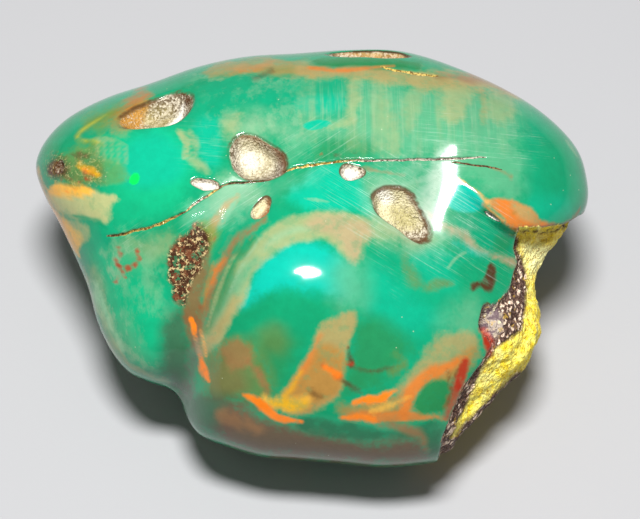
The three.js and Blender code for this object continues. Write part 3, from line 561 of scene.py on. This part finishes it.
def skin(q, facing):
    """The skin before anything is cut. Facing is 1 at the near middle and -1 at the far one."""
    near = facing >= 0
    share = np.minimum(np.hypot(*q.T) / outline_radius(np.arctan2(q[:, 1], q[:, 0])), 1)
    bulge = (1 - share ** ROUNDNESS) ** (1 / ROUNDNESS)
    fade = smooth(0, RIM_FADE, np.abs(facing))
    relief = np.zeros(len(q))
    relief[near] = near_relief(q[near])
    relief[~near] = fold_height(FAR_FOLDS, q[~near])
    height = np.where(near, NEAR_BULGE * bulge + fade * relief, -FAR_BULGE * bulge - fade * relief)
    gap = along(q, np.array(SLOPE_PATH, float))[0]
    even = SLOPE_HEIGHT + SLOPE_RISE * (q[:, 1] - SLOPE_PATH[0][1]) - SLOPE_ROUNDING * gap ** 2
    height += near * fade * np.exp(-(gap / SLOPE_WIDTH) ** 2) * (even - height)
    points = q[:, :1] * RIGHT + q[:, 1:] * UP + (height - LEAN * q[:, 1])[:, None] * NEAR + CENTRE
    wave = fade * np.where(near, NEAR_WAVE, FAR_WAVE) * lumps(points, WAVE_LENGTH, WAVE_SEED)
    points += NEAR * wave[:, None]
    z = points[:, 2]
    low = np.where(z < -GROUND_BLEND, 0, (z + GROUND_BLEND) ** 2 / (4 * GROUND_BLEND))
    points[:, 2] = np.where(z >= GROUND_BLEND, z, low)
    return points


def skin_at(u, w, sign):
    share = min(np.hypot(u, w) / outline_radius(np.arctan2(w, u)), 0.999)
    return skin(np.array([[u, w]], float), np.array([sign * np.sqrt(1 - share ** 2)]))[0]


def prepare_pit(pit, sign):
    """The pit's middle on the skin, and its own three ways: outward, long and cross."""
    (u, w), half, turn, depth = pit
    step_u, step_w = (-PIT_STEP if u > 0 else PIT_STEP), (-PIT_STEP if w > 0 else PIT_STEP)
    point = skin_at(u, w, sign)
    along_u = (skin_at(u + step_u, w, sign) - point) * np.sign(step_u)
    along_w = (skin_at(u, w + step_w, sign) - point) * np.sign(step_w)
    outward = np.cross(along_u, along_w) * sign
    outward /= np.linalg.norm(outward)
    turn = np.radians(turn)
    long = np.cos(turn) * RIGHT + np.sin(turn) * UP
    long -= long @ outward * outward
    long /= np.linalg.norm(long)
    return {"wobble": u, "half": half, "depth": depth, "point": point, "outward": outward, "long": long,
            "cross": np.cross(outward, long)}


pits = [prepare_pit(pit, 1) for pit in NEAR_PITS] + [prepare_pit(pit, -1) for pit in FAR_PITS]


def pit_place(points, pit):
    """0 at the middle of a pit, 1 at its rim."""
    v = points - pit["point"]
    x, y = v @ pit["long"] / pit["half"][0], v @ pit["cross"] / pit["half"][1]
    turn = np.arctan2(v @ pit["cross"], v @ pit["long"])
    place = np.hypot(x, y) * (1 + PIT_WOBBLE * np.sin(3 * turn + pit["wobble"]))
    return np.where(np.abs(v @ pit["outward"]) > PIT_REACH, FAR_OFF, place)


def nearest_pit(points):
    return np.min([pit_place(points, one) for one in pits], axis=0)


def crust_side(q, facing):
    """Distance into the rough side, negative outside it."""
    near_gap, _, near_side = along(q, CRUST_NEAR)
    far_gap, _, far_side = along(q, CRUST_FAR)
    return np.where(facing >= 0, -near_gap * near_side, -far_gap * far_side)


def normals(points, faces):
    a, b, c = (points[faces[:, i]] for i in range(3))
    face = np.cross(b - a, c - a)
    out = np.zeros_like(points)
    for i in range(3):
        for axis in range(3):
            out[:, axis] += np.bincount(faces[:, i], face[:, axis], len(points))
    return out / np.maximum(np.linalg.norm(out, axis=1), 1e-12)[:, None]


def ball(parts):
    """A unit ball of 20 parts squared triangles: its points and faces."""
    gold = (1 + 5 ** 0.5) / 2
    corners = np.array([
        (-1, gold, 0), (1, gold, 0), (-1, -gold, 0), (1, -gold, 0), (0, -1, gold), (0, 1, gold),
        (0, -1, -gold), (0, 1, -gold), (gold, 0, -1), (gold, 0, 1), (-gold, 0, -1), (-gold, 0, 1)])
    sides = [
        (0, 11, 5), (0, 5, 1), (0, 1, 7), (0, 7, 10), (0, 10, 11), (1, 5, 9), (5, 11, 4), (11, 10, 2),
        (10, 7, 6), (7, 1, 8), (3, 9, 4), (3, 4, 2), (3, 2, 6), (3, 6, 8), (3, 8, 9), (4, 9, 5),
        (2, 4, 11), (6, 2, 10), (8, 6, 7), (9, 8, 1)]
    at = [(i, j) for i in range(parts + 1) for j in range(parts + 1 - i)]
    index = {place: k for k, place in enumerate(at)}
    small = [(index[i, j], index[i + 1, j], index[i, j + 1])
             for i in range(parts) for j in range(parts - i)]
    small += [(index[i + 1, j], index[i + 1, j + 1], index[i, j + 1])
              for i in range(parts) for j in range(parts - i - 1)]
    i, j = np.array(at).T[:, :, None] / parts
    points = np.vstack([corners[a] + (corners[b] - corners[a]) * i + (corners[c] - corners[a]) * j
                        for a, b, c in sides])
    faces = np.vstack([np.array(small) + k * len(at) for k in range(20)])
    points /= np.linalg.norm(points, axis=1)[:, None]
    _, first, back = np.unique(np.round(points, 6), axis=0, return_index=True, return_inverse=True)
    return points[first], back.reshape(-1)[faces]


def split_edges(directions, faces, split):
    """Halves the edges that split(a, b) marks by their two ends, and cuts each triangle to match."""
    edges = np.sort(faces[:, [0, 1, 1, 2, 2, 0]].reshape(-1, 2), axis=1)
    edges, which = np.unique(edges, axis=0, return_inverse=True)
    which = which.reshape(-1, 3)
    marked = split(edges[:, 0], edges[:, 1])
    middle = np.full(len(edges), -1)
    middle[marked] = len(directions) + np.arange(marked.sum())
    halves = directions[edges[marked]].sum(1)
    directions = np.vstack([directions, halves / np.linalg.norm(halves, axis=1)[:, None]])
    cut = marked[which]
    count = cut.sum(1)
    out = [faces[count == 0]]
    for number, first in ((1, cut), (2, ~cut)):
        rows = np.flatnonzero(count == number)
        turn = np.argmax(first[rows], axis=1)[:, None]
        a, b, c = (faces[rows[:, None], (turn + k) % 3][:, 0] for k in range(3))
        ab, bc, ca = (middle[which[rows[:, None], (turn + k) % 3][:, 0]] for k in range(3))
        new = ((a, ab, c), (ab, b, c)) if number == 1 else ((c, ca, bc), (a, b, bc), (a, bc, ca))
        out += [np.column_stack(corners) for corners in new]
    rows = count == 3
    (a, b, c), (ab, bc, ca) = faces[rows].T, middle[which[rows]].T
    out += [np.column_stack(corners) for corners in ((a, ab, ca), (ab, b, bc), (ca, bc, c), (ab, bc, ca))]
    return directions, np.vstack(out)


def in_photo(points):
    """Where the camera sees each point, in the photograph's pixels."""
    v = points - CENTRE
    scale = MM_PER_PIXEL * (1 - v @ NEAR / CAMERA_DISTANCE)
    return np.column_stack([PHOTO_SIZE[0] / 2 + v @ RIGHT / scale, PHOTO_SIZE[1] / 2 - v @ UP / scale])


def inside_outline(q, outline):
    inside = np.zeros(len(q), bool)
    for a, b in zip(outline, np.roll(outline, -1, axis=0)):
        crosses = (a[1] > q[:, 1]) != (b[1] > q[:, 1])
        with np.errstate(divide="ignore", invalid="ignore"):
            at = (b[0] - a[0]) * (q[:, 1] - a[1]) / (b[1] - a[1]) + a[0]
        inside ^= crosses & (q[:, 0] < at)
    return inside


def layer(shapes, pixels):
    """How far inside its shapes each pixel is, in steps of their softness, and their tone and strength."""
    depth = np.full(len(pixels), -DEEPEST)
    tone, strength, cover = np.zeros((len(pixels), 3)), np.zeros(len(pixels)), np.zeros(len(pixels))
    for name, soft, amount, points, *widths in shapes:
        path = spline(points, not widths, PATH_STEPS)
        reach = DEEPEST * soft + (max(widths[0]) if widths else 0)
        rows = np.flatnonzero(((pixels > path.min(0) - reach) & (pixels < path.max(0) + reach)).all(1))
        near = pixels[rows]
        if widths:
            gap, place, _ = along(near, path)
            inside = value_at(widths[0], place) - gap
        else:
            gap, _, _ = along(near, np.vstack([path, path[:1]]))
            inside = np.where(inside_outline(near, path), gap, -gap)
        inside = np.clip(inside / soft, -DEEPEST, DEEPEST)
        added = amount * smooth(-1, 1, inside)
        after = cover[rows] + added * (1 - cover[rows])
        share = added / np.maximum(after, 0.001)
        share[(after < 0.02) & (inside > depth[rows])] = 1
        tone[rows] += share[:, None] * (np.array(TONES[name]) - tone[rows])
        strength[rows] += share * (amount - strength[rows])
        cover[rows] = after
        depth[rows] = np.maximum(depth[rows], inside)
    full = smooth(-1, 1, depth)
    strength = np.where(full > 0.05, np.minimum(cover / np.maximum(full, 0.05), 1), strength)
    return depth, np.column_stack([tone, strength])


def each_noise(points, length, octaves):
    return np.array([noise.fractal(Vector(p), 0.6, 2.0, octaves, noise_basis="PERLIN_ORIGINAL")
                     for p in points / length])


def grid_places(directions):
    """Where each direction lies in the outline's plane, and how far it faces the near side."""
    q = directions[:, :2] * outline_radius(np.arctan2(directions[:, 1], directions[:, 0]))[:, None]
    return q, directions[:, 2]


def crack_gap(points, facing):
    """Millimetres from each point to the nearest crack."""
    pixels = in_photo(points)
    gap = np.min([along(pixels, spline(path, steps=PATH_STEPS))[0] for path, *_ in CRACKS], axis=0)
    return np.where(facing > 0, gap * MM_PER_PIXEL, FAR_OFF)


def fine_grid():
    """The directions and faces of a ball, finer to the near side, at pits and cracks and on the crust."""
    directions, faces = ball(BALL_PARTS)
    narrow, stretch = np.sqrt(1 - GRID_PULL ** 2), 1 + GRID_PULL * directions[:, 2:]
    directions = np.hstack([directions[:, :2] * narrow, directions[:, 2:] + GRID_PULL]) / stretch
    for _ in range(2):
        q, facing = grid_places(directions)
        points = skin(q, facing)
        longest = np.full(len(points), FAR_OFF)
        longest[nearest_pit(points) < NEAR_PIT] = PIT_LONGEST
        longest[crust_side(q, facing) > -NEAR_CRUST] = CRUST_LONGEST
        longest[crack_gap(points, facing) < NEAR_CRACK] = CRACK_LONGEST

        def too_long(a, b):
            return np.linalg.norm(points[a] - points[b], axis=1) > np.minimum(longest[a], longest[b])

        directions, faces = split_edges(directions, faces, too_long)
    return directions, faces


def rough_cut(points, crust, patch, pit):
    """How deep the rough side, the rough patch and the grain of the pits go."""
    inside = smooth(-0.3, CRUST_EDGE, crust)
    rough = sum(height * lumps(points, length, seed) for height, length, seed in CRUST_LUMPS)
    cut = inside * (CRUST_DEPTH + rough) + (1 - inside) * patch * (PATCH_DEPTH + rough)
    rows = np.flatnonzero((inside > 0) | (patch > 0) | (pit < 1.15))
    grain, knobs = np.zeros(len(points)), np.zeros(len(points))
    grain[rows] = each_noise(points[rows], GRAIN_LENGTH, 4)
    knobs[rows] = each_noise(points[rows], KNOB_LENGTH, 2)
    cut += np.maximum(inside, patch) * (CRUST_GRAIN * grain + CRUST_KNOBS * np.abs(knobs))
    return cut + (1 - smooth(0.7, 1.0, pit)) * PIT_GRAIN * grain


def crack_cut(points, facing):
    """How deep the cracks go, the distance from them in half widths, and their shine."""
    cut, crack, shine = np.zeros(len(points)), np.full(len(points), FAR_OFF), np.zeros(len(points))
    seen = np.flatnonzero(facing > 0)
    wiggle = np.column_stack([lumps(points, length, seed) for length, seed in CRACK_LUMPS]) * CRACK_WIGGLE
    pixels = (in_photo(points) + wiggle)[seen]
    for path, depth, half, shines in CRACKS:
        gap, place, _ = along(pixels, spline(path, steps=PATH_STEPS))
        taper = smooth(0, 0.08, place) * smooth(1, 0.9, place)
        gap = gap * MM_PER_PIXEL / (half * (0.55 + 0.45 * taper))
        cut[seen] += depth * (0.3 + 0.7 * taper) * np.exp(-gap ** 2)
        closer = gap < crack[seen]
        shine[seen[closer]] = value_at(shines, place)[closer]
        crack[seen] = np.minimum(crack[seen], gap)
    return cut, crack, shine


def painted_layers(points, shaped, facing):
    """Each layer's depth at every point, and its tone and strength."""
    warp = sum(np.column_stack([lumps(points, length, seed) for seed in seeds]) * size
               for length, seeds, size in WARPS)
    still = in_photo(shaped)
    known = smooth(-0.3, 0.05, facing)
    where = facing > -0.35
    depths, tones = {}, {}
    for name, shapes in LAYERS.items():
        depth, tone = np.full(len(points), -DEEPEST), np.zeros((len(points), 4))
        pixels = still if name in STEADY else still + warp
        depth[where], tone[where] = layer(shapes, pixels[where])
        depths[name] = depth * known - DEEPEST * (1 - known)
        tones[name + "_tone"] = tone
    return {**depths, "seen": known}, tones


def into_scene(name, data):
    thing = bpy.data.objects.new(name, data)
    bpy.context.scene.collection.objects.link(thing)
    return thing


def nugget_mesh(points, faces, values, tones):
    mesh = bpy.data.meshes.new("nugget")
    mesh.vertices.add(len(points))
    mesh.vertices.foreach_set("co", (points / 1000).astype(np.float32).ravel())
    mesh.loops.add(faces.size)
    mesh.loops.foreach_set("vertex_index", faces.astype(np.int32).ravel())
    mesh.polygons.add(len(faces))
    mesh.polygons.foreach_set("loop_start", np.arange(0, faces.size, 3, dtype=np.int32))
    mesh.polygons.foreach_set("use_smooth", np.ones(len(faces), bool))
    mesh.update(calc_edges=True)
    for name, value in values.items():
        mesh.attributes.new(name, "FLOAT", "POINT").data.foreach_set("value", value.astype(np.float32))
    for name, value in tones.items():
        colours = mesh.attributes.new(name, "FLOAT_COLOR", "POINT")
        colours.data.foreach_set("color", value.astype(np.float32).ravel())
    return mesh


def make_nugget():
    """The nugget, and how far it was moved to lie over the solid."""
    directions, faces = fine_grid()
    q, facing = grid_places(directions)
    points = skin(q, facing)
    pit, crust = nearest_pit(points), crust_side(q, facing)
    patch = np.where(facing < 0, smooth(0.4, 0.6, bump(q, PATCH_AT, PATCH_SPREAD)), 0)
    crack_depth, crack, shine = crack_cut(points, facing)
    cut = rough_cut(points, crust, patch, pit) + crack_depth
    shaped = points - normals(points, faces) * cut[:, None]
    for one in pits:
        sink = one["depth"] * (1 - smooth(*PIT_WALL, pit_place(points, one)))
        shaped -= one["outward"] * sink[:, None]
    shaped[:, 2] = np.maximum(shaped[:, 2], 0)

    node_low, node_high = (np.array(corner) * 1000 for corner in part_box("amber_nugget"))
    middle = (shaped.min(0) + shaped.max(0)) / 2
    move = np.array([*((node_low + node_high) / 2 - middle)[:2], 0])
    depths, tones = painted_layers(points, shaped, facing)
    rough = np.where(patch > 0, np.maximum(crust, (patch - 0.5) * 2), crust)
    values = {"pit": pit, "crust": rough, "crack": crack, "shine": shine, **depths}
    return into_scene("nugget", nugget_mesh(shaped + move, faces, values, tones)), move


class Nodes:
    """Short calls for adding shader nodes to one material. A string given as a colour names a tone."""

    def __init__(self, name):
        self.material = bpy.data.materials.new(name)
        self.material.use_nodes = True
        self.tree = self.material.node_tree
        self.shader = self.tree.nodes["Principled BSDF"]

    def put(self, socket, value):
        if isinstance(value, bpy.types.NodeSocket):
            self.tree.links.new(value, socket)
        elif isinstance(value, str):
            socket.default_value = (*TONES[value], 1)
        elif value is not None:
            socket.default_value = value

    def add(self, kind, inputs=(), **settings):
        node = self.tree.nodes.new("ShaderNode" + kind)
        for key, value in settings.items():
            setattr(node, key, value)
        for key, value in dict(inputs).items():
            self.put(node.inputs[key], value)
        return node

    def shade(self, values):
        for name, value in values.items():
            self.put(self.shader.inputs[name], value)

    def math(self, operation, a, b=None, c=None):
        node = self.add("Math", operation=operation)
        for socket, value in zip(node.inputs, (a, b, c)):
            self.put(socket, value)
        return node.outputs[0]

    def times(self, a, b):
        return self.math("MULTIPLY", a, b)

    def plus(self, a, share, base):
        """The base and a share of a."""
        return self.math("MULTIPLY_ADD", a, share, base)

    def without(self, a):
        return self.math("SUBTRACT", 1.0, a)

    def swing(self, noise_value, size, base=0.0):
        """The base, moved up and down by noise."""
        return self.plus(self.math("SUBTRACT", noise_value, 0.5), size, base)

    def attribute(self, name):
        return self.add("Attribute", attribute_name=name).outputs["Fac"]

    def tone(self, name, output="Color"):
        return self.add("Attribute", attribute_name=name + "_tone").outputs[output]

    def ramp(self, value, start, end, low=0.0, high=1.0):
        keys = {"Value": value, "From Min": start, "From Max": end, "To Min": low, "To Max": high}
        return self.add("MapRange", keys, interpolation_type="SMOOTHSTEP").outputs["Result"]

    def mix(self, factor, a, b, share=None):
        node = self.add("Mix", data_type="RGBA")
        factor = factor if share is None else self.times(factor, share)
        for socket, value in ((node.inputs[0], factor), (node.inputs[6], a), (node.inputs[7], b)):
            self.put(socket, value)
        return node.outputs[2]

    def two_tone(self, name, value, start, end):
        """From the dark tone of a name to its light one, as the value rises from start to end."""
        return self.mix(self.ramp(value, start, end), name + " dark", name + " light")

    def place(self, turn=0, lengths=(1, 1, 1)):
        """Millimetres in the picture's plane, turned in degrees and drawn out by the three lengths."""
        ways = Matrix((RIGHT, UP, NEAR)).transposed() @ Matrix.Rotation(np.radians(turn), 3, "Z")
        keys = {"Vector": self.add("TexCoord").outputs["Object"], "Rotation": ways.to_euler(),
                "Scale": tuple(length / 1000 for length in lengths)}
        return self.add("Mapping", keys, vector_type="TEXTURE").outputs[0]

    def noise(self, where, length, detail, rough=0.5, distortion=0.0):
        keys = {"Vector": where, "Scale": 1 / length, "Detail": detail, "Roughness": rough,
                "Distortion": distortion}
        return self.add("TexNoise", keys).outputs["Fac"]

    def cells(self, where, length):
        return self.add("TexVoronoi", {"Vector": where, "Scale": 1 / length}).outputs


def amber_material():
    """The stone's colours and gloss. Lengths of noise are in millimetres."""
    n = Nodes("amber")
    where = n.place()
    broad = n.noise(where, 14, 3, 0.55)
    swirl = n.noise(where, 9, 3, 0.6, 1.6)
    cloud = n.noise(where, 4.5, 4, 0.6, 0.5)
    fine = n.noise(where, 1.2, 3, 0.6)
    tiny = n.noise(where, 0.5, 2, 0.6)
    grit = n.noise(where, 0.35, 2, 0.6)
    ruffle = n.swing(tiny, 0.6, n.swing(fine, 1.4, n.swing(cloud, 2.6)))

    def inside(name, wild=1.0, edge=1.0):
        """How far each place is inside a layer, with its edge ruffled by noise."""
        return n.ramp(n.plus(ruffle, wild, n.attribute(name)), -edge, edge)

    def cover(name, wild=1.0, edge=1.0):
        return n.times(inside(name, wild, edge), n.tone(name, "Alpha"))

    def lay(base, name, wild=1.0, share=None):
        return n.mix(cover(name, wild), base, n.tone(name), share)

    # The green stone, its mottling, its upright streaks and the tan and peach of the far side.
    hidden = n.without(n.attribute("seen"))
    colour = n.mix(n.ramp(broad, 0.35, 0.65), "green", "sea")
    colour = n.mix(n.ramp(cloud, 0.5, 0.75), colour, "leaf", 0.35)
    # The fields hold painted light too: a brighter left wing, and painted shade in the fold and along the
    # near bottom wall.
    colour = lay(colour, "fields")
    patchy = n.noise(n.place(12, (2.6, 4.2, 3)), 1, 5, 0.68)
    mottled = n.math("MAXIMUM", cover("mottle", 1.0, 1.5), n.times(hidden, 0.7))
    mottled = n.times(n.ramp(patchy, 0.48, 0.62), mottled)
    colour = n.mix(mottled, colour, "mist", 0.7)
    streaked = inside("streaks", 1.0, 1.4)
    fibre = n.noise(n.place(0, (0.7, 14, 14)), 1, 3, 0.65)
    ribbon = n.noise(n.place(2, (3.2, 40, 40)), 1, 2, 0.5)
    colour = n.mix(n.ramp(fibre, 0.46, 0.66), colour, "mist", n.times(streaked, 0.45))
    colour = n.mix(n.ramp(ribbon, 0.5, 0.66), colour, "tan", n.times(streaked, 0.42))
    clear = n.ramp(n.noise(where, 2.2, 4, 0.65), 0.34, 0.52, 0.7, 1.0)
    # The figures include painted shade and a painted dark reflection along the near bottom wall.
    colour = lay(colour, "figures", 1.1, clear)
    colour = n.mix(n.times(hidden, n.ramp(swirl, 0.50, 0.62)), colour, "tan", 0.85)
    colour = n.mix(hidden, colour, "peach", n.ramp(swirl, 0.66, 0.76))
    colour = lay(colour, "marks", 1.1, clear)
    # The lines hold painted highlights too: a white glow along the glare streak and a glint on the right
    # bulb.
    colour = lay(colour, "lines", 0.5)

    # Shading that varies a little, specks of dust, and dark grains beside the fold and at the left tip.
    shade = n.plus(n.noise(where, 1.6, 4, 0.72), 0.36, 0.82)
    colour = n.add("VectorMath", {"Vector": colour, "Scale": shade}, operation="SCALE").outputs[0]
    dust = n.cells(where, 2.2)
    dusty = n.times(n.ramp(dust["Distance"], 0.055, 0.03), n.ramp(dust["Color"], 0.55, 0.6))
    colour = n.mix(dusty, colour, "dust", 0.6)
    grains = n.two_tone("grain", n.noise(where, 0.5, 3, 0.8), 0.52, 0.62)
    grains = n.mix(n.ramp(fine, 0.50, 0.60), grains, "red earth", 0.7)
    dirt = n.times(cover("specks", 1.4), n.ramp(n.noise(where, 1.5, 3, 0.8), 0.38, 0.44, 0.55, 1.0))
    colour = n.mix(dirt, colour, grains)

    # Scratches that run three ways, and dull milky polish whose pale tint is painted sheen.
    scratch = None
    for name, turn in (("slanted", -31), ("level", -5), ("rising", 33)):
        lines = n.noise(n.place(turn, (8, 0.17, 8)), 1, 3, 0.75)
        part = n.times(n.ramp(lines, 0.52, 0.72), cover(name, 2.0, 2.0))
        scratch = part if scratch is None else n.math("MAXIMUM", scratch, part)
    colour = n.mix(scratch, colour, "scratch", 0.42)
    smear = n.noise(n.place(25, (6, 1.5, 6)), 1, 2, 0.6)
    haze_and_sheen = n.times(cover("haze_and_sheen", 1.2, 1.4), n.ramp(smear, 0.3, 0.6, 0.45, 1.0))
    # Painted sheen: a pale tint where the polish is dull and milky.
    colour = n.mix(haze_and_sheen, colour, "haze_and_sheen", 0.16)

    # Cracks, from brown through gold to silver.
    shine = n.attribute("shine")
    crack_tone = n.mix(n.ramp(shine, 0.0, 0.5), n.two_tone("brown crack", grit, 0.44, 0.64),
                       n.two_tone("gold crack", grit, 0.40, 0.60))
    crack_tone = n.mix(n.ramp(shine, 0.5, 1.0), crack_tone, n.two_tone("silver crack", grit, 0.42, 0.58))
    crack = n.ramp(n.swing(fine, 1.6, n.attribute("crack")), 1.6, 0.8)
    colour = n.mix(crack, colour, crack_tone)

    # The sugary floors of the pits and their brown rims.
    pit_value = n.swing(fine, 0.12, n.attribute("pit"))
    pit_floor = n.ramp(pit_value, 1.01, 0.93)
    pit_rim = n.times(n.ramp(pit_value, 1.10, 1.0), n.ramp(pit_value, 0.86, 0.95))
    sparkle = n.cells(where, 0.3)
    sugar = n.two_tone("sugar", sparkle["Color"], 0.25, 0.8)
    sugar = n.mix(n.ramp(cloud, 0.50, 0.64), sugar, "brown sugar", 0.4)
    # The hollows tones hold the pits' own colours, painted shade on some pit walls and a painted highlight
    # in one pit.
    hollow = n.mix(n.ramp(grit, 0.50, 0.64, 0.0, 0.6), n.tone("hollows"), sugar)
    in_hollow = cover("hollows", 0.8)
    sugar = n.mix(in_hollow, sugar, hollow)
    colour = n.mix(pit_floor, colour, sugar)
    colour = n.mix(pit_rim, colour, "pit rim", n.ramp(cloud, 0.42, 0.58, 0.15, 0.9))

    # The rough side: dark stone with worm-like crumbs and a purplish hollow, under a yellow crust.
    crust = n.ramp(n.swing(fine, 1.4, n.attribute("crust")), -0.12, 0.14)
    jitter = n.add("TexNoise", {"Vector": where, "Scale": 0.8, "Detail": 1.0}).outputs["Color"]
    jitter = n.add("VectorMath", {0: jitter, 1: (1.5, 1.5, 1.5)}, operation="MULTIPLY").outputs[0]
    bent = n.add("VectorMath", {0: n.place(55, (1.5, 0.72, 0.8)), 1: jitter}).outputs[0]
    beads = n.cells(bent, 1.0)
    crumbs = n.times(n.ramp(beads["Distance"], 0.49, 0.35), n.ramp(beads["Color"], 0.30, 0.36))
    stone = n.two_tone("stone", grit, 0.4, 0.62)
    stone = n.mix(crumbs, stone, n.two_tone("crumb", grit, 0.36, 0.60))
    vug = n.two_tone("vug", fine, 0.44, 0.58)
    vug = n.mix(crumbs, vug, "vug crumb", n.ramp(cloud, 0.48, 0.60))
    stone = n.mix(in_hollow, stone, vug)
    stone = n.mix(n.ramp(fine, 0.58, 0.66), stone, "ochre", 0.6)
    crease = n.math("ABSOLUTE", n.math("SUBTRACT", n.noise(where, 1.8, 3, 0.65), 0.5))
    crease = n.times(n.ramp(crease, 0.030, 0.008), n.ramp(n.noise(where, 3, 2, 0.5), 0.45, 0.55))
    pocks = n.ramp(n.noise(where, 0.55, 2, 0.7), 0.57, 0.64)
    lemon = n.two_tone("lemon", fine, 0.38, 0.58)
    lemon = n.mix(n.ramp(cloud, 0.50, 0.64), lemon, "lemon pale", 0.6)
    lemon = n.mix(cover("bloom", 1.0, 1.4), lemon, "lemon bloom", 0.8)
    lemon = n.mix(n.math("MAXIMUM", pocks, crease), lemon, "lemon pit", 0.6)
    yellow = n.math("MAXIMUM", cover("yellow"), n.times(hidden, n.ramp(broad, 0.42, 0.58)))
    rough_side = n.mix(yellow, stone, lemon)
    # Painted shadow under the lip at the top of the rough side.
    rough_side = lay(rough_side, "shelf_shadow", 0.8, n.ramp(fine, 0.46, 0.56, 0.25, 1.0))
    rough_side = lay(rough_side, "marks", 0.8, 0.75)
    colour = n.mix(crust, colour, rough_side)

    # Gloss and light let through only where the polished skin is open.
    open_skin = n.times(n.without(crust), n.without(pit_floor))
    dull = inside("dull", 1.0, 1.2)
    polish = n.plus(dull, 0.34, n.plus(scratch, 0.2, n.plus(haze_and_sheen, 0.24, 0.12)))
    roughness = n.add("Mix", data_type="FLOAT")
    n.put(roughness.inputs[0], open_skin)
    n.put(roughness.inputs[2], n.ramp(sparkle["Color"], 0.2, 0.8, 0.85, 0.3))
    n.put(roughness.inputs[3], polish)
    edge_on = n.add("LayerWeight", {"Blend": 0.5}).outputs["Facing"]
    gloss = n.times(n.plus(dull, -GLOSS_LOST_IF_DULL, GLOSS), n.ramp(edge_on, 0.9, 0.5))

    # Fine grain of the open pits and the rough side, as a bump.
    coarse = n.math("ADD", n.times(grit, 0.5), n.times(sparkle["Distance"], 0.6))
    coarse = n.plus(n.times(crumbs, crust), 0.5, coarse)
    height = n.times(n.without(open_skin), n.plus(fine, 0.7, coarse))
    height = n.times(height, n.ramp(n.attribute("yellow"), -1, 1, 0.6, 0.4))
    grain = n.add("Bump", {"Height": height, "Distance": BUMP_DEPTH, "Strength": BUMP_STRENGTH})
    n.shade({
        "Base Color": colour, "Roughness": roughness.outputs[0], "Normal": grain.outputs[0],
        "Transmission Weight": n.times(LET_THROUGH, open_skin), "IOR": REFRACTION,
        "Specular IOR Level": SHEEN_LEVEL, "Coat Weight": n.times(gloss, open_skin),
        "Coat Roughness": GLOSS_ROUGHNESS})
    absorb = n.add("VolumeAbsorption", {"Color": "absorbed", "Density": ABSORPTION})
    n.put(n.tree.nodes["Material Output"].inputs["Volume"], absorb.outputs[0])
    return n.material


def softbox(name, way, distance, size, power):
    """An oval light that looks at the nugget's middle."""
    light = bpy.data.lights.new(name, "AREA")
    light.shape = "ELLIPSE"
    light.size, light.size_y = size
    light.energy = power
    way = Vector(way).normalized()
    lamp = into_scene(name, light)
    lamp.location = centre + way * distance
    lamp.rotation_mode = "QUATERNION"
    lamp.rotation_quaternion = (-way).to_track_quat("-Z", "Y")


nugget, move = make_nugget()
nugget.data.materials.append(amber_material())
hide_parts("amber_nugget")
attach(nugget, "root")

# The floor, the light around and the key light.
corners = [(x * FLOOR_REACH, y * FLOOR_REACH, 0) for x, y in ((-1, -1), (1, -1), (1, 1), (-1, 1))]
floor_mesh = bpy.data.meshes.new("floor")
floor_mesh.from_pydata(corners, [], [(0, 1, 2, 3)])
floor = into_scene("floor", floor_mesh)
paper = Nodes("paper")
paper.shade({"Base Color": "paper", "Roughness": 0.75})
floor_mesh.materials.append(paper.material)

world = bpy.data.worlds.new("studio")
world.use_nodes = True
around = world.node_tree.nodes["Background"].inputs
around["Color"].default_value = (*TONES["daylight"], 1)
around["Strength"].default_value = DAYLIGHT_STRENGTH
bpy.context.scene.world = world

centre = Vector(CENTRE + move) / 1000
key_way = KEY_WAY[0] * RIGHT + KEY_WAY[1] * UP + KEY_WAY[2] * NEAR
softbox("key", key_way, KEY_DISTANCE, KEY_SIZE, KEY_POWER)

# The camera, at the photograph's viewing angle.
camera_data = bpy.data.cameras.new("camera")
camera_data.lens, camera_data.sensor_width = LENS, SENSOR
camera_data.clip_start = 0.01
camera = into_scene("camera", camera_data)
turn = Matrix((RIGHT, UP, NEAR)).transposed()
camera.matrix_world = Matrix.Translation(centre + Vector(NEAR) * CAMERA_DISTANCE / 1000) @ turn.to_4x4()
bpy.context.scene.camera = camera
bpy.context.scene.view_settings.view_transform = "Standard"
